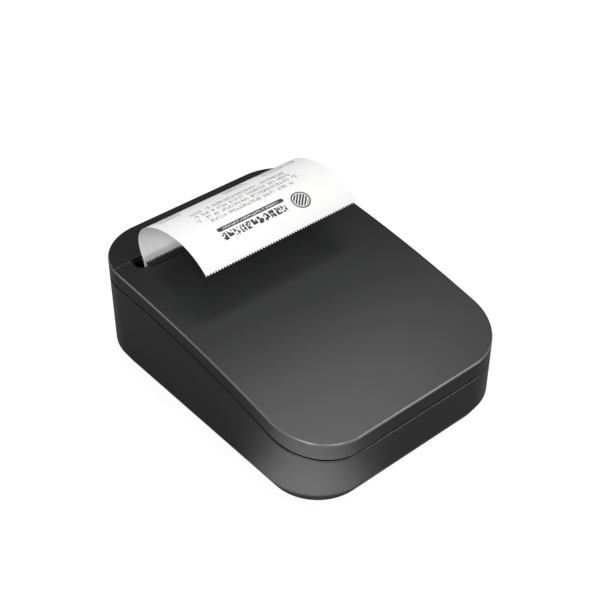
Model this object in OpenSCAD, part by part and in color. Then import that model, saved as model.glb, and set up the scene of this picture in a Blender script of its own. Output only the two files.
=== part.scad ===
// Portable receipt printer for 80 mm paper. Millimetres, +Z up.
// The origin is under the middle of the case. The cover hinges at the -Y end
// and the paper leaves near the +Y end.

/* [Body] */
// Width across the side walls
body_w = 110; // [108:1:132]
// Length from the hinge end to the paper end
body_d = 144; // [140:1:173]
// Height of the top at the paper end
far_h = 49.6; // [49:0.2:60]
// How much lower the top is at the hinge end
top_drop = 17.4; // [14:0.2:18.4]
// Corner radius of the outline
corner_r = 24; // [20:0.5:26]
// Wall thickness of the case, cover and end cap
wall = 2; // [1.6:0.1:2.4]
// How far the bottom edge is cut in
edge_in = 3.2; // [2:0.2:4]
// How high the bottom edge cut is
edge_up = 6.2; // [4:0.2:7]
// Depth of the cover's skirt at the paper end
skirt_far = 7.85; // [7:0.05:8.5]
// Depth of the cover's skirt at the hinge end
skirt_near = 8.2; // [7.6:0.1:9]
// Open line between the cover and the case
part_gap = 0.4; // [0.3:0.05:0.6]
// Height of the rubber feet below the case
foot_h = 0.5; // [0.4:0.1:1]

/* [Paper] */
// Width of the paper
paper_w = 79.5; // [57.5:0.5:80]
// Thickness drawn for the paper
paper_t = 0.14; // [0.1:0.02:0.2]
// Diameter of the paper roll
roll_d = 38; // [26:1:39]
// Outer diameter of the roll's core
core_d = 17.6; // [14:0.2:19]
// Inner diameter of the roll's core
core_bore = 12.4; // [10:0.2:13]
// Height of the curled receipt's ridge above the end cap
curl_rise = 22.3; // [15:0.1:30]
// Length of the curl from its back to its ridge
curl_run = 27.2; // [20:0.1:32]
// Radius of the receipt's falling end
tail_r = 29; // [24:0.5:40]
// Angle over which the receipt's end falls
tail_turn = 42; // [20:1:50]

/* [Printing mechanism] */
// Radius of the platen roller
platen_r = 5; // [4:0.1:5.4]
// Radius of the platen shaft
shaft_r = 2; // [1.5:0.1:2.2]
// Outer radius of the platen bushings
bush_r = 3; // [2.8:0.1:3.2]
// Tooth size of the gears
gear_m = 0.6; // [0.5:0.05:0.65]
// Teeth on the platen gear
platen_teeth = 19; // [17:1:20]
// Teeth on the small wheel of the reduction gear
small_teeth = 14; // [13:1:16]
// Teeth on the large wheel of the reduction gear
large_teeth = 30; // [26:1:32]
// Teeth on the motor pinion
pinion_teeth = 12; // [11:1:13]
// Diameter of the stepper motor
motor_d = 16; // [14:0.5:17]
// Length of the stepper motor
motor_l = 18; // [14:1:24]
// Thickness of the mechanism's side plates
frame_t = 1.5; // [1.2:0.1:1.8]

/* [Controls] */
// Travel of the cover's open button
open_travel = 2.5; // [2:0.1:3]
// Travel of the power and feed buttons
key_travel = 0.6; // [0.4:0.1:0.8]
// Radius of the power button
power_r = 4; // [3.5:0.1:5]
// Width of the feed button
feed_w = 13; // [10:0.5:15]
// Height of the feed button
feed_h = 7; // [6:0.5:8]

/* [Battery] */
// Size of the battery pack along X
pack_x = 52; // [44:1:54]
// Size of the battery pack along Y
pack_y = 37; // [30:1:38]
// Height of the battery pack
pack_z = 16.8; // [12:0.1:17]

/* [Mounting] */
// Distance between the two belt clip inserts
clip_span = 40; // [30:1:48]
// Radius of the belt clip inserts' holes
clip_r = 1.25; // [1.25:0.05:1.6]

/* [Hidden] */
$fn = 48;

// Fits
fit = 0.05;
seat = 0.1;
gap = 0.3;
e = 0.01;
big = 400;
fine = 720;

// Ends of the body
half_w = body_w / 2;
near_y = -body_d / 2;
far_y = body_d / 2;
floor_z = foot_h + wall;

// The top is one arc, level at the paper end
function arc_r(run, fall) = (run * run + fall * fall) / (2 * fall);
top_r = arc_r(body_d, top_drop);
function top_z(y) = far_h - top_r + sqrt(top_r * top_r - (far_y - y) * (far_y - y));

// The line between cover and case is a second arc, highest just inside the paper end
part_run = body_d - 13;
part_crest_y = far_y - 13;
part_crest_z = far_h - skirt_far;
part_r = arc_r(part_run, part_crest_z - top_z(near_y) + skirt_near);
function part_z(y) =
    part_crest_z - part_r + sqrt(part_r * part_r - (part_crest_y - y) * (part_crest_y - y));

// The seam between the cover and the end cap leans 45 degrees
seam_y = far_y - 20.2;
seam_z = top_z(seam_y);
function seam_at(z) = seam_y - seam_z + z;

// Hinge line
hinge_r = 1.25;
knuckle_r = 2.3;
knuckle_gap = 0.2;
hinge_y = near_y + wall + knuckle_r + knuckle_gap;
hinge_z = part_z(near_y) + 4.2;
knuckle_x = 30;
knuckle_w = 8;
lug_w = 5;
hinge_reach = knuckle_x + knuckle_w / 2 + gap + lug_w;

// The near rim of the case is cut to the path of the cover's skirt
corner_x = half_w - corner_r;
hinge_end_x = corner_x + sqrt(corner_r * corner_r - pow(corner_r - hinge_y + near_y, 2));
function near_edge(x) = abs(x) < corner_x ? near_y
    : near_y + corner_r - sqrt(corner_r * corner_r - pow(abs(x) - corner_x, 2));
function sweep_r(x) =
    norm([near_edge(x) - hinge_y, part_z(near_edge(x)) + part_gap / 2 - hinge_z]) + 0.17;

// Paper path
paper_x = paper_w / 2;
nip_y = far_y - 20.4;
slot_near_y = seam_y - 6.2;
slot_x = paper_x + 6;
lip_x = slot_x - 1;
cap_lip_y = far_y - 18.7;
paper_off = paper_t / 2 + 0.12;
platen_y = nip_y - paper_off - platen_r;
platen_z = top_z(platen_y) - 9.5;
platen_x = paper_x + 1;

// Widths across the mechanism, from the paper outwards
ear_x = platen_x + 0.9;
ear_t = 1.8;
plate_x = paper_x + 3.75;
hook_x = plate_x + frame_t + gap;
hook_t = 1.6;
gear_x = hook_x + hook_t + 0.4;
gear_t = 1.6;
wheel_x = gear_x + gear_t + 0.2;
wheel_t = 1.6;
bush_end_x = hook_x + hook_t;

// Reduction gear and motor
mesh_slack = 0.05;
gear_tip = 0.95;
gear_root = 1.2;
small_dist = gear_m * (platen_teeth + small_teeth) / 2 + mesh_slack;
large_dist = gear_m * (large_teeth + pinion_teeth) / 2 + mesh_slack;
red_y = platen_y;
red_z = platen_z - small_dist;
motor_lean = 30;
motor_y = red_y + large_dist * sin(motor_lean);
motor_z = red_z - large_dist * cos(motor_lean);
motor_shaft_r = 1;
axle_r = 1.2;

// Meshing angles: a tooth of one wheel points into a gap of the other
platen_turn = -90;
small_turn = 90 + 180 / small_teeth;
large_turn = -90 + motor_lean;
pinion_turn = 90 + motor_lean + 180 / pinion_teeth;

// Steel frame of the mechanism
frame_low = floor_z + 1.5;
frame_plate = 1.5;
frame_high = platen_z + 4;
frame_near = platen_y - 8;
back_y = nip_y + 9.4;

// Print head
head_y = nip_y + paper_off;
head_t = 1;
head_low = platen_z - 9;
head_high = platen_z + 3.6;
head_half = paper_x + 2;
plate_t = 3;
head_back_y = head_y + head_t + plate_t;
pivot_y = head_y + head_t + plate_t / 2;
pivot_z = head_low + 1.2;
pivot_r = 0.9;
spring_x = paper_x / 2 + 2;
spring_z = platen_z + 0.6;
spring_r = 2.1;
spring_seat = 0.6;

// Latch
latch_y = nip_y + 6.9;
latch_z = platen_z - 7;
latch_r = 1.2;
latch_arm = 15;
lever_half = 1.2;
latch_gap = 0.14;
platen_swing = norm([platen_y - hinge_y, platen_z - hinge_z]);
catch_r = platen_swing + bush_r + latch_gap;
gear_sweep_r = platen_swing + gear_m * (platen_teeth / 2 + gear_tip) + gap;
hook_top = platen_z + 4.9;

// Toothed tear bar in the cover's edge
bar_t = 0.8;
bar_w = 2.8;
bar_x = paper_x + 1.6;
bar_y = slot_near_y - 1.6;
bar_z = top_z(slot_near_y) - bar_t - 0.15;
tooth_pitch = 1.4;
tooth_h = 1.2;

// Carrier of the platen under the cover
carrier_t = 1.2;
carrier_near_y = platen_y - 27;
function carrier_z(y) = top_z(y) - wall - 5;

// Roll and its trough
roll_r = roll_d / 2;
tray_t = 1.2;
roll_gap = 0.7;
roll_z = floor_z + 0.5 + tray_t + roll_gap + roll_r;
roll_y = platen_y - 38.4;
trough_r = roll_r + roll_gap;
tray_x = paper_x + 1.3;
tray_wall = 1.5;
tray_near_y = roll_y - trough_r - tray_t;
tray_far_y = platen_y - 9.5;
tray_high = part_z(roll_y) - 1.5;

// The web runs from under the roll to under the platen, tangent to both
web_r = platen_r + paper_off;
web_span = norm([platen_y - roll_y, platen_z - roll_z]);
web_turn = atan2(platen_z - roll_z, platen_y - roll_y)
    + asin((roll_r + 0.2 - web_r) / web_span);
web_from = [roll_y + (roll_r + 0.2) * sin(web_turn), roll_z - (roll_r + 0.2) * cos(web_turn)];

// Curl of the receipt outside the slot
curl_y = nip_y - 24.5;
curl_mid_z = top_z(seam_y) + 6.3;
curl_up = top_z(seam_y) + curl_rise - curl_mid_z;
exit_r = 14.5;
exit_turn = 28;
strip_foot = [curl_y + curl_run - exit_r + exit_r * cos(exit_turn),
              curl_mid_z - exit_r * sin(exit_turn)];

// Control panel in the far wall
panel_z = 27;
power_x = -16;
feed_x = 16;
led_x = [-5, 0, 5];
led_r = 1.1;
key_flange = 1.2;
panel_y = far_y - wall - 3.4;
panel_t = 1.4;
panel_half = 28;

// Open button in the +X wall
open_y = latch_y - latch_arm - 1.5;
open_z = latch_z - 3;
open_w = 11;
open_h = 8;

// Battery and main board
pack_at = [-7, near_y + 12 + pack_y / 2, floor_z];
lid_t = 1.2;
lid_x = pack_x + 3.8;
lid_y = pack_y + 3.8;
board_t = 1.6;
board_at = [half_w - 18.5, near_y + 41.5];
board_size = [27, 31];
board_z = floor_z + 4;
usb_y = near_y + 34;
usb_w = 8.94;
usb_h = 3.16;
usb_l = 7.35;

// Feet and belt clip inserts
foot_x = half_w - 14;
foot_y = far_y - 14;
foot_r = 4;
clip_y = far_y - 54;
clip_out_r = clip_r + 0.88;
clip_boss_r = clip_out_r + 1.87;

// Screws and the posts that take them
screw_r = 1;
screw_head_r = 1.9;
screw_head_h = 1.3;
post_r = 3;
board_post_r = 2.2;
far_screw_y = far_y - 6.3;
near_screw_y = near_y + 21;
base_screws = [[-half_w + 18.4, far_screw_y], [half_w - 18.4, far_screw_y],
               [-half_w + 9.5, near_screw_y], [half_w - 9.5, near_screw_y]];
screw_sink = 1.8;
screw_bite = 4;
deck_z = 2.2;
deck_line = 4;
cap_post_z = part_z(far_screw_y) - 6;
tray_post_z = part_z(near_screw_y) - 10;
function screw_end(p) = p[1] > 0 ? cap_post_z : tray_post_z;
mech_holes = [[-paper_x + 20, platen_y - 4], [paper_x - 20, platen_y - 4]];
cover_holes = [[-paper_x + 4, platen_y - 22], [paper_x - 4, platen_y - 22],
               [-paper_x + 4, platen_y - 12], [paper_x - 4, platen_y - 12]];

// ---------- shapes used by several pieces ----------

module round_rect(w, d, r) {
    for (sx = [-1, 1]) {
        for (sy = [-1, 1]) {
            translate([sx * (w / 2 - r), sy * (d / 2 - r)]) circle(r = r, $fn = 180);
        }
    }
    square([w - 2 * r, d], center = true);
    square([w, d - 2 * r], center = true);
}

// Block with rounded corners whose bottom edge is cut at a slope
module edge_slab(w, d, r, h) {
    translate([0, 0, edge_up]) linear_extrude(h - edge_up) round_rect(w, d, r);
    for (sx = [-1, 1]) {
        for (sy = [-1, 1]) {
            translate([sx * (w / 2 - r), sy * (d / 2 - r), 0])
                cylinder(r1 = r - edge_in, r2 = r, h = edge_up + e, $fn = 180);
        }
    }
    along_x(w - 2 * r) side_cut(d / 2);
    rotate([0, 0, 90]) along_x(d - 2 * r) side_cut(w / 2);
}

module side_cut(half) {
    polygon([[edge_in - half, 0], [half - edge_in, 0], [half, edge_up + e], [-half, edge_up + e]]);
}

// Extrudes a YZ outline along X, centred on X = 0
module along_x(len, x = 0) {
    translate([x - len / 2, 0, 0]) rotate([90, 0, 90]) linear_extrude(len) children();
}

// A cylinder along X from x0 to x1
module rod_x(x0, x1, r, y = 0, z = 0) {
    translate([x0, y, z]) rotate([0, 90, 0]) cylinder(r = r, h = x1 - x0);
}

// A cylinder along Y from y0 to y1
module rod_y(y0, y1, r, x = 0, z = 0) {
    translate([x, y0, z]) rotate([-90, 0, 0]) cylinder(r = r, h = y1 - y0);
}

// Space under the top arc, lowered by drop
module under_top(drop = 0) {
    translate([-big / 2, far_y, far_h - top_r]) rotate([0, 90, 0])
        cylinder(r = top_r - drop, h = big, $fn = fine);
}

// Space under the part line, raised by lift
module under_part(lift = 0) {
    translate([-big / 2, part_crest_y, part_crest_z - part_r]) rotate([0, 90, 0])
        cylinder(r = part_r + lift, h = big, $fn = fine);
}

// Everything on the far side of the leaning seam, moved by shift
module beyond_seam(shift = 0, x = body_w + 2) {
    along_x(x) polygon([[seam_at(0) + shift, 0], [seam_at(far_h + 10) + shift, far_h + 10],
                        [far_y + 40, far_h + 10], [far_y + 40, 0]]);
}

// Upper shell of the body, from the part line up
module upper_shell() {
    difference() {
        intersection() {
            linear_extrude(far_h + 5) round_rect(body_w, body_d, corner_r);
            under_top();
        }
        under_part(part_gap / 2);
        intersection() {
            linear_extrude(far_h + 5) round_rect(body_w - 2 * wall, body_d - 2 * wall, corner_r - wall);
            under_top(wall);
        }
    }
}

// Room that the cover's near skirt turns in
module skirt_sweep() {
    steps = 14;
    side = [for (i = [0:steps]) corner_x + (hinge_end_x - corner_x) * i / steps];
    half = [for (x = side) [sweep_r(x), x]];
    other = [for (i = [steps:-1:0]) [half[i][0], -half[i][1]]];
    translate([0, hinge_y, hinge_z]) rotate([0, 90, 0])
        rotate_extrude($fn = 120) polygon(concat([[0, -hinge_end_x]], other, half, [[0, hinge_end_x]]));
}

// Pan head screw along -Z, head on top at z = 0 upwards
module screw(len) {
    difference() {
        union() {
            cylinder(r = screw_head_r, h = screw_head_h);
            translate([0, 0, -len]) cylinder(r = screw_r, h = len + e);
        }
        for (a = [0, 90]) {
            rotate([0, 0, a]) translate([-1.1, -0.25, screw_head_h - 0.7]) cube([2.2, 0.5, 2]);
        }
    }
}

// Round wire wound along +Z, as a swept tube
module coil(r, wire, pitch, turns) {
    ring = 8;
    per_turn = 14;
    last = round(turns * per_turn);
    tilt = atan2(pitch, 2 * PI * r);
    points = [for (i = [0:last], k = [0:ring - 1])
        let (a = i * 360 / per_turn, b = k * 360 / ring, q = r + wire * cos(b))
        [q * cos(a) + wire * sin(b) * sin(tilt) * sin(a),
         q * sin(a) - wire * sin(b) * sin(tilt) * cos(a),
         pitch * i / per_turn + wire * sin(b) * cos(tilt)]];
    sides = [for (i = [0:last - 1], k = [0:ring - 1])
        let (n = (k + 1) % ring)
        [i * ring + k, i * ring + n, (i + 1) * ring + n, (i + 1) * ring + k]];
    low = [for (k = [ring - 1:-1:0]) k];
    high = [for (k = [0:ring - 1]) last * ring + k];
    polyhedron(points = points, faces = concat([low, high], sides), convexity = 8);
}

// Involute gear outline: flank points from the root to the tip
function inv_angle(r, base) = r <= base ? 0 : sqrt(pow(r / base, 2) - 1) * 180 / PI - acos(base / r);
module gear_outline(teeth, turn, slack = 0.09) {
    pitch = gear_m * teeth / 2;
    base = pitch * cos(20);
    tip = pitch + gear_m * gear_tip;
    root = pitch - gear_m * gear_root;
    half = 90 / teeth - slack / pitch * 90 / PI + inv_angle(pitch, base);
    radii = [root, max(root + 0.01, base), pitch - gear_m * 0.2, pitch + gear_m * 0.35, tip];
    polygon([for (t = [0:teeth - 1])
        let (mid = turn + t * 360 / teeth)
        for (s = [-1, 1], i = [0:4])
            let (q = s < 0 ? radii[i] : radii[4 - i], a = mid + s * (half - inv_angle(q, base)))
            [q * cos(a), q * sin(a)]]);
}

// A gear along X with its tooth turned to a given angle in the YZ plane
module gear_x(teeth, turn, x0, x1) {
    translate([x0, 0, 0]) rotate([90, 0, 90]) linear_extrude(x1 - x0) gear_outline(teeth, turn);
}

// Curved sheet: follows points at half the thickness each side
function side_points(path, off) = [for (i = [0:len(path) - 1])
    let (a = path[max(i - 1, 0)], b = path[min(i + 1, len(path) - 1)], d = (b - a) / norm(b - a))
    path[i] + off * [-d[1], d[0]]];
function flip(list) = [for (i = [len(list) - 1:-1:0]) list[i]];
module paper_sheet(path) {
    along_x(paper_w)
        polygon(concat(side_points(path, paper_t / 2), flip(side_points(path, -paper_t / 2))));
}

// ---------- case ----------

module bottom_case() {
    color("#26272a") difference() {
        union() {
            difference() {
                intersection() {
                    translate([0, 0, foot_h]) edge_slab(body_w, body_d, corner_r, far_h);
                    under_part(-part_gap / 2);
                }
                translate([0, 0, floor_z])
                    edge_slab(body_w - 2 * wall, body_d - 2 * wall, corner_r - wall, far_h);
            }
            case_posts();
        }
        skirt_sweep();
        case_cuts();
    }
}

module case_posts() {
    post_z = foot_h + wall / 2;
    for (p = base_screws) {
        translate([p[0], p[1], post_z]) cylinder(r = post_r, h = screw_end(p) - post_z);
    }
    for (p = mech_holes) {
        translate([p[0], p[1], post_z]) cylinder(r = post_r, h = frame_low - post_z);
    }
    inset = 3;
    for (sx = [-1, 1], sy = [-1, 1]) {
        translate([board_at[0] + sx * (board_size[0] / 2 - inset),
                   board_at[1] + sy * (board_size[1] / 2 - inset), post_z])
            cylinder(r = board_post_r, h = board_z - post_z);
    }
    for (sx = [-1, 1]) {
        translate([sx * clip_span / 2, clip_y, post_z]) cylinder(r = clip_boss_r, h = wall);
    }
}

module case_cuts() {
    for (p = base_screws) {
        translate([p[0], p[1], -e]) cylinder(r = screw_head_r + 0.2, h = foot_h + screw_sink + 2 * e);
        translate([p[0], p[1], 0]) cylinder(r = screw_r + fit, h = far_h);
    }
    for (p = mech_holes) {
        translate([p[0], p[1], foot_h + 0.9]) cylinder(r = screw_r + fit, h = frame_low);
    }
    for (sx = [-1, 1], sy = [-1, 1]) {
        translate([sx * foot_x, sy * foot_y, foot_h - e]) cylinder(r = foot_r + fit, h = foot_h + e);
    }
    // Battery opening with a seat for its lid
    translate([pack_at[0] - lid_x / 2, pack_at[1] - lid_y / 2, foot_h - e])
        cube([lid_x, lid_y, lid_t + e]);
    translate([pack_at[0] - pack_x / 2 + 2, pack_at[1] - pack_y / 2 + 2, foot_h])
        cube([pack_x - 4, pack_y - 4, wall + 1]);
    // Belt clip inserts
    for (sx = [-1, 1]) {
        translate([sx * clip_span / 2, clip_y, -e]) cylinder(r = clip_out_r + 0.02, h = floor_z + 0.2);
    }
    // Socket window with a seat for the plug's body
    translate([half_w - wall - 1, usb_y - usb_w / 2 - gap, board_z + board_t - gap])
        cube([wall + 2, usb_w + 2 * gap, usb_h + 2 * gap]);
    translate([half_w - 0.9, usb_y - 6.5, board_z + board_t + usb_h / 2 - 3.4]) cube([2, 13, 6.8]);
    // Buttons and lamps in the far wall
    rod_y(far_y - wall - 1, far_y + 1, power_r + 0.2, power_x, panel_z);
    translate([0, far_y - wall - 1, 0]) feed_shape(0.2, wall + 2);
    for (x = led_x) {
        rod_y(far_y - wall - 1, far_y + 1, led_r + 0.05, x, panel_z);
    }
    // Open button
    translate([half_w - wall - 1, open_y, open_z]) open_shape(0.25, wall + 2);
}

module rubber_feet() {
    color("#151515") for (sx = [-1, 1], sy = [-1, 1]) {
        translate([sx * foot_x, sy * foot_y, 0]) cylinder(r = foot_r, h = 2 * foot_h);
    }
}

// Feed button outline standing along Y, grown by grow
module feed_shape(grow, depth) {
    r = feed_h / 2 + grow;
    for (sx = [-1, 1]) {
        rod_y(0, depth, r, feed_x + sx * (feed_w - feed_h) / 2, panel_z);
    }
    translate([feed_x - (feed_w - feed_h) / 2, 0, panel_z - r]) cube([feed_w - feed_h, depth, 2 * r]);
}

// Open button outline along X, grown by grow
module open_shape(grow, depth) {
    r = 2;
    for (sy = [-1, 1], sz = [-1, 1]) {
        rod_x(0, depth, r + grow, sy * (open_w / 2 - r), sz * (open_h / 2 - r));
    }
    translate([0, -open_w / 2 - grow, r - open_h / 2]) cube([depth, open_w + 2 * grow, open_h - 2 * r]);
    translate([0, r - open_w / 2, -open_h / 2 - grow]) cube([depth, open_w - 2 * r, open_h + 2 * grow]);
}

module front_cap() {
    color("#2b2c2f") difference() {
        union() {
            intersection() {
                upper_shell();
                beyond_seam(part_gap / 2);
            }
            intersection() {
                difference() {
                    linear_extrude(far_h + 5) round_rect(body_w, body_d, corner_r);
                    under_part(part_gap / 2);
                }
                under_top();
                difference() {
                    beyond_seam(part_gap / 2);
                    beyond_seam(part_gap / 2 + 2.6);
                }
            }
            cap_lip();
            for (p = base_screws) {
                if (p[1] > 0) {
                    translate([p[0], p[1], cap_post_z])
                        cylinder(r = post_r, h = far_h - wall / 2 - cap_post_z);
                }
            }
        }
        // Room for the paper, the head and the cover's platen
        translate([-lip_x, near_y, 0]) cube([2 * lip_x, seam_y + part_gap / 2 - near_y, far_h + 5]);
        translate([-paper_x - 0.9, near_y, 0]) cube([2 * paper_x + 1.8, cap_lip_y - near_y, far_h + 5]);
        translate([-hook_x - hook_t - 1, near_y, 0])
            cube([2 * (hook_x + hook_t + 1), latch_y + 4 - near_y, top_z(seam_y) - wall - 1]);
        translate([-wheel_x - wheel_t - gap, near_y, 0])
            cube([wheel_x, red_y + 11 - near_y, top_z(seam_y) - wall - 2]);
        // Pocket that the platen's gear rises through
        rod_x(-gear_x - gear_t - gap, -gear_x + gap, gear_sweep_r, hinge_y, hinge_z);
        for (p = base_screws) {
            if (p[1] > 0) {
                translate([p[0], p[1], cap_post_z - e]) cylinder(r = screw_r + fit, h = screw_bite + 1);
            }
        }
    }
}

// Edge over which the paper leaves
module cap_lip() {
    lip_y = seam_y + part_gap / 2;
    translate([-lip_x, lip_y, top_z(lip_y) - 4.2]) cube([2 * lip_x, cap_lip_y + 1.6 - lip_y, 3.4]);
}

// ---------- tray ----------

module paper_tray() {
    color("#303134") difference() {
        union() {
            tray_trough();
            tray_deck();
            hinge_arms();
        }
        for (p = base_screws) {
            translate([p[0], p[1], tray_post_z - e]) cylinder(r = screw_r + fit, h = screw_bite + 1);
        }
        rod_x(-hinge_reach - 0.5, hinge_reach + 0.5, hinge_r + fit, hinge_y, hinge_z);
        sensor_place(0.1);
    }
}

module tray_trough() {
    outer_r = trough_r + tray_t;
    difference() {
        union() {
            intersection() {
                rod_x(-tray_x, tray_x, outer_r, roll_y, roll_z);
                translate([-tray_x, near_y, 0]) cube([2 * tray_x, roll_y - near_y, roll_z + 8]);
            }
            intersection() {
                rod_x(-tray_x, tray_x, outer_r, roll_y, roll_z);
                along_x(2 * tray_x) polygon([[roll_y - 1, 0], [roll_y - 1, roll_z], [roll_y, roll_z],
                    roll_at(web_turn, outer_r + 2), roll_at(web_turn - 20, outer_r + 9), [roll_y, 0]]);
            }
            tray_ramp();
        }
        rod_x(-tray_x - 1, tray_x + 1, trough_r, roll_y, roll_z);
    }
    // Cheeks beside the roll
    for (sx = [-1, 1]) {
        along_x(tray_wall, sx * (tray_x + tray_wall / 2 - e)) polygon([
            [tray_near_y, floor_z + 1], [tray_far_y - 14, floor_z + 1], [tray_far_y, floor_z + 18],
            [tray_far_y, tray_high - 5], [tray_far_y - 10, tray_high],
            [tray_near_y, part_z(tray_near_y) - deck_line]]);
    }
}

// Point at radius r on the lower far side of the roll, turn degrees from straight down
function roll_at(turn, r) = [roll_y + r * sin(turn), roll_z - r * cos(turn)];

// Ramp under the paper between the roll and the platen
module tray_ramp() {
    low = roll_at(web_turn, roll_r + roll_gap);
    len = web_span - 16;
    along_x(2 * tray_x) translate(low) rotate(web_turn)
        translate([-0.5, -tray_t]) square([len * 0.62, tray_t]);
}

module sensor_place(grow) {
    low = roll_at(web_turn, roll_r + roll_gap);
    translate([12, low[0], low[1]]) rotate([web_turn, 0, 0])
        translate([-2.4 - grow, 8 - grow, -tray_t - 1 - grow])
            cube([4.8 + 2 * grow, 3.2 + 2 * grow, 2 + grow * 2]);
}

module tray_deck() {
    near = hinge_y + 7;
    // Deck over the battery and the board, and the two decks beside the roll
    intersection() {
        translate([0, 0, floor_z]) linear_extrude(far_h)
            round_rect(body_w - 2 * wall - 1, body_d - 2 * wall - 1, corner_r - wall - 0.5);
        difference() {
            under_part(-deck_line);
            under_part(-deck_line - deck_z);
            translate([-tray_x, tray_near_y + 1, 0]) cube([2 * tray_x, body_d, far_h]);
            translate([-body_w, tray_far_y - 3, 0]) cube([2 * body_w, body_d, far_h]);
            translate([-body_w, near_y - 1, 0]) cube([2 * body_w, near - near_y + 1, far_h]);
        }
    }
    // Posts from the deck down to the screws
    for (p = base_screws) {
        if (p[1] < 0) {
            translate([p[0], p[1], tray_post_z])
                cylinder(r = post_r, h = part_z(p[1]) - deck_line - 1 - tray_post_z);
        }
    }
}

// Two arms that carry the hinge shaft
module hinge_arms() {
    for (sx = [-1, 1]) {
        rod_x(sx * knuckle_x - knuckle_w / 2, sx * knuckle_x + knuckle_w / 2,
              knuckle_r, hinge_y, hinge_z);
        along_x(knuckle_w, sx * knuckle_x) polygon([
            [hinge_y, hinge_z - 1.2], [hinge_y + 7, hinge_z - 1.2],
            [hinge_y + 7.2, part_z(hinge_y + 8) - 5], [hinge_y + 12, part_z(hinge_y + 12) - 5],
            [hinge_y + 12, part_z(hinge_y + 12) - 1.5],
            [hinge_y + 8, hinge_z + 2], [hinge_y, hinge_z + 2]]);
    }
}

module hinge_shaft() {
    color("#b9bcc0") rod_x(-hinge_reach, hinge_reach, hinge_r, hinge_y, hinge_z);
}

module paper_sensor() {
    color("#0d0d0f") sensor_place(0);
}

module cover_switch() {
    color("#1b1b1d")
    translate([tray_x + tray_wall + 2, roll_y + 8, part_z(roll_y + 16) - deck_line + 0.02]) {
        cube([3.2, 8, 3.2]);
        translate([1, 1.5, 3.2 - e]) cube([1.2, 1.6, 0.6]);
    }
}

// ---------- printing mechanism ----------

module mechanism_frame() {
    nest = bush_r + gap;
    color("#8f9296") difference() {
        union() {
            for (sx = [-1, 1]) {
                along_x(frame_t, sx * (plate_x + frame_t / 2)) polygon([
                    [frame_near, frame_low], [back_y - 4, frame_low], [back_y + frame_t, frame_low + 6],
                    [back_y + frame_t, frame_high + 1.5], [head_y + 2, frame_high + 1.5],
                    [platen_y + nest + 0.6, frame_high - 1], [platen_y + nest, frame_high - 2],
                    [platen_y + nest, platen_z - 1], [platen_y, platen_z - nest],
                    [platen_y - nest, platen_z - 1], [platen_y - nest - 2.2, frame_high - 3],
                    [frame_near, platen_z - 3]]);
            }
            // Back wall behind the head and floor under the motor
            translate([-plate_x - e, back_y, motor_z + motor_d / 2 + 1])
                cube([2 * plate_x + 2 * e, frame_t, frame_high + 1.5 - motor_z - motor_d / 2 - 1]);
            translate([-plate_x - e, frame_near, frame_low])
                cube([2 * plate_x + 2 * e, back_y - 4 - frame_near, frame_plate]);
            // Spring seats
            for (sx = [-1, 1]) {
                rod_y(back_y - 0.8, back_y + e, 1.3, sx * spring_x, spring_z);
            }
        }
        rod_x(-plate_x - 5, plate_x + 5, nest, platen_y, platen_z);
        rod_x(-plate_x - 5, plate_x + 5, latch_r + fit, latch_y, latch_z);
        rod_x(-plate_x - 5, plate_x + 5, pivot_r + fit, pivot_y, pivot_z);
        rod_x(-plate_x - 5, -plate_x + 1, axle_r + e, red_y, red_z);
        rod_x(-plate_x - 5, -plate_x + 1, motor_shaft_r + 1.6, motor_y, motor_z);
        for (p = mech_holes) {
            translate([p[0], p[1], 0]) cylinder(r = screw_r + seat, h = frame_low + 5);
        }
        // Lightening windows
        rod_x(-plate_x - 5, plate_x + 5, 3.2, platen_y - 2.5, frame_low + 9);
    }
}

module stepper_motor() {
    shaft_room = 6;
    color("#a3a6a9") difference() {
        union() {
            rod_x(-plate_x, -plate_x + motor_l, motor_d / 2, motor_y, motor_z);
            rod_x(-plate_x + motor_l, -plate_x + motor_l + 1.2, 3, motor_y, motor_z);
            translate([-plate_x + motor_l - 7, motor_y - 4, motor_z - motor_d / 2 - 1.6])
                cube([6, 8, 3]);
        }
        rod_x(-plate_x - 1, -plate_x + shaft_room, motor_shaft_r + fit, motor_y, motor_z);
    }
}

module motor_pinion() {
    color("#b5975a") translate([0, motor_y, motor_z]) {
        gear_x(pinion_teeth, pinion_turn, -wheel_x - wheel_t, -wheel_x);
        rod_x(-wheel_x - e, -plate_x + 5, motor_shaft_r);
    }
}

module reduction_gear() {
    color("#d9d6cc") translate([0, red_y, red_z]) difference() {
        union() {
            gear_x(large_teeth, large_turn, -wheel_x - wheel_t, -wheel_x);
            gear_x(small_teeth, small_turn, -wheel_x - e, -gear_x);
            rod_x(-gear_x - e, -gear_x + 0.5, 2.6);
        }
        rod_x(-wheel_x - wheel_t - 1, -gear_x + 2, axle_r + fit);
    }
}

module gear_axle() {
    color("#b9bcc0") {
        rod_x(-wheel_x - wheel_t - 0.3, -plate_x, axle_r, red_y, red_z);
    }
}

module platen_shaft() {
    color("#c3c6c9") union() {
        rod_x(-gear_x - gear_t, bush_end_x + 0.2, shaft_r, platen_y, platen_z);
    }
}

module platen_rubber() {
    color("#1a1a1a") difference() {
        rod_x(-platen_x, platen_x, platen_r, platen_y, platen_z);
        rod_x(-platen_x - 1, platen_x + 1, shaft_r, platen_y, platen_z);
    }
}

module platen_gear() {
    color("#d9d6cc") translate([0, platen_y, platen_z]) difference() {
        gear_x(platen_teeth, platen_turn, -gear_x - gear_t, -gear_x);
        rod_x(-gear_x - gear_t - 1, -gear_x + 1, shaft_r);
    }
}

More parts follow.
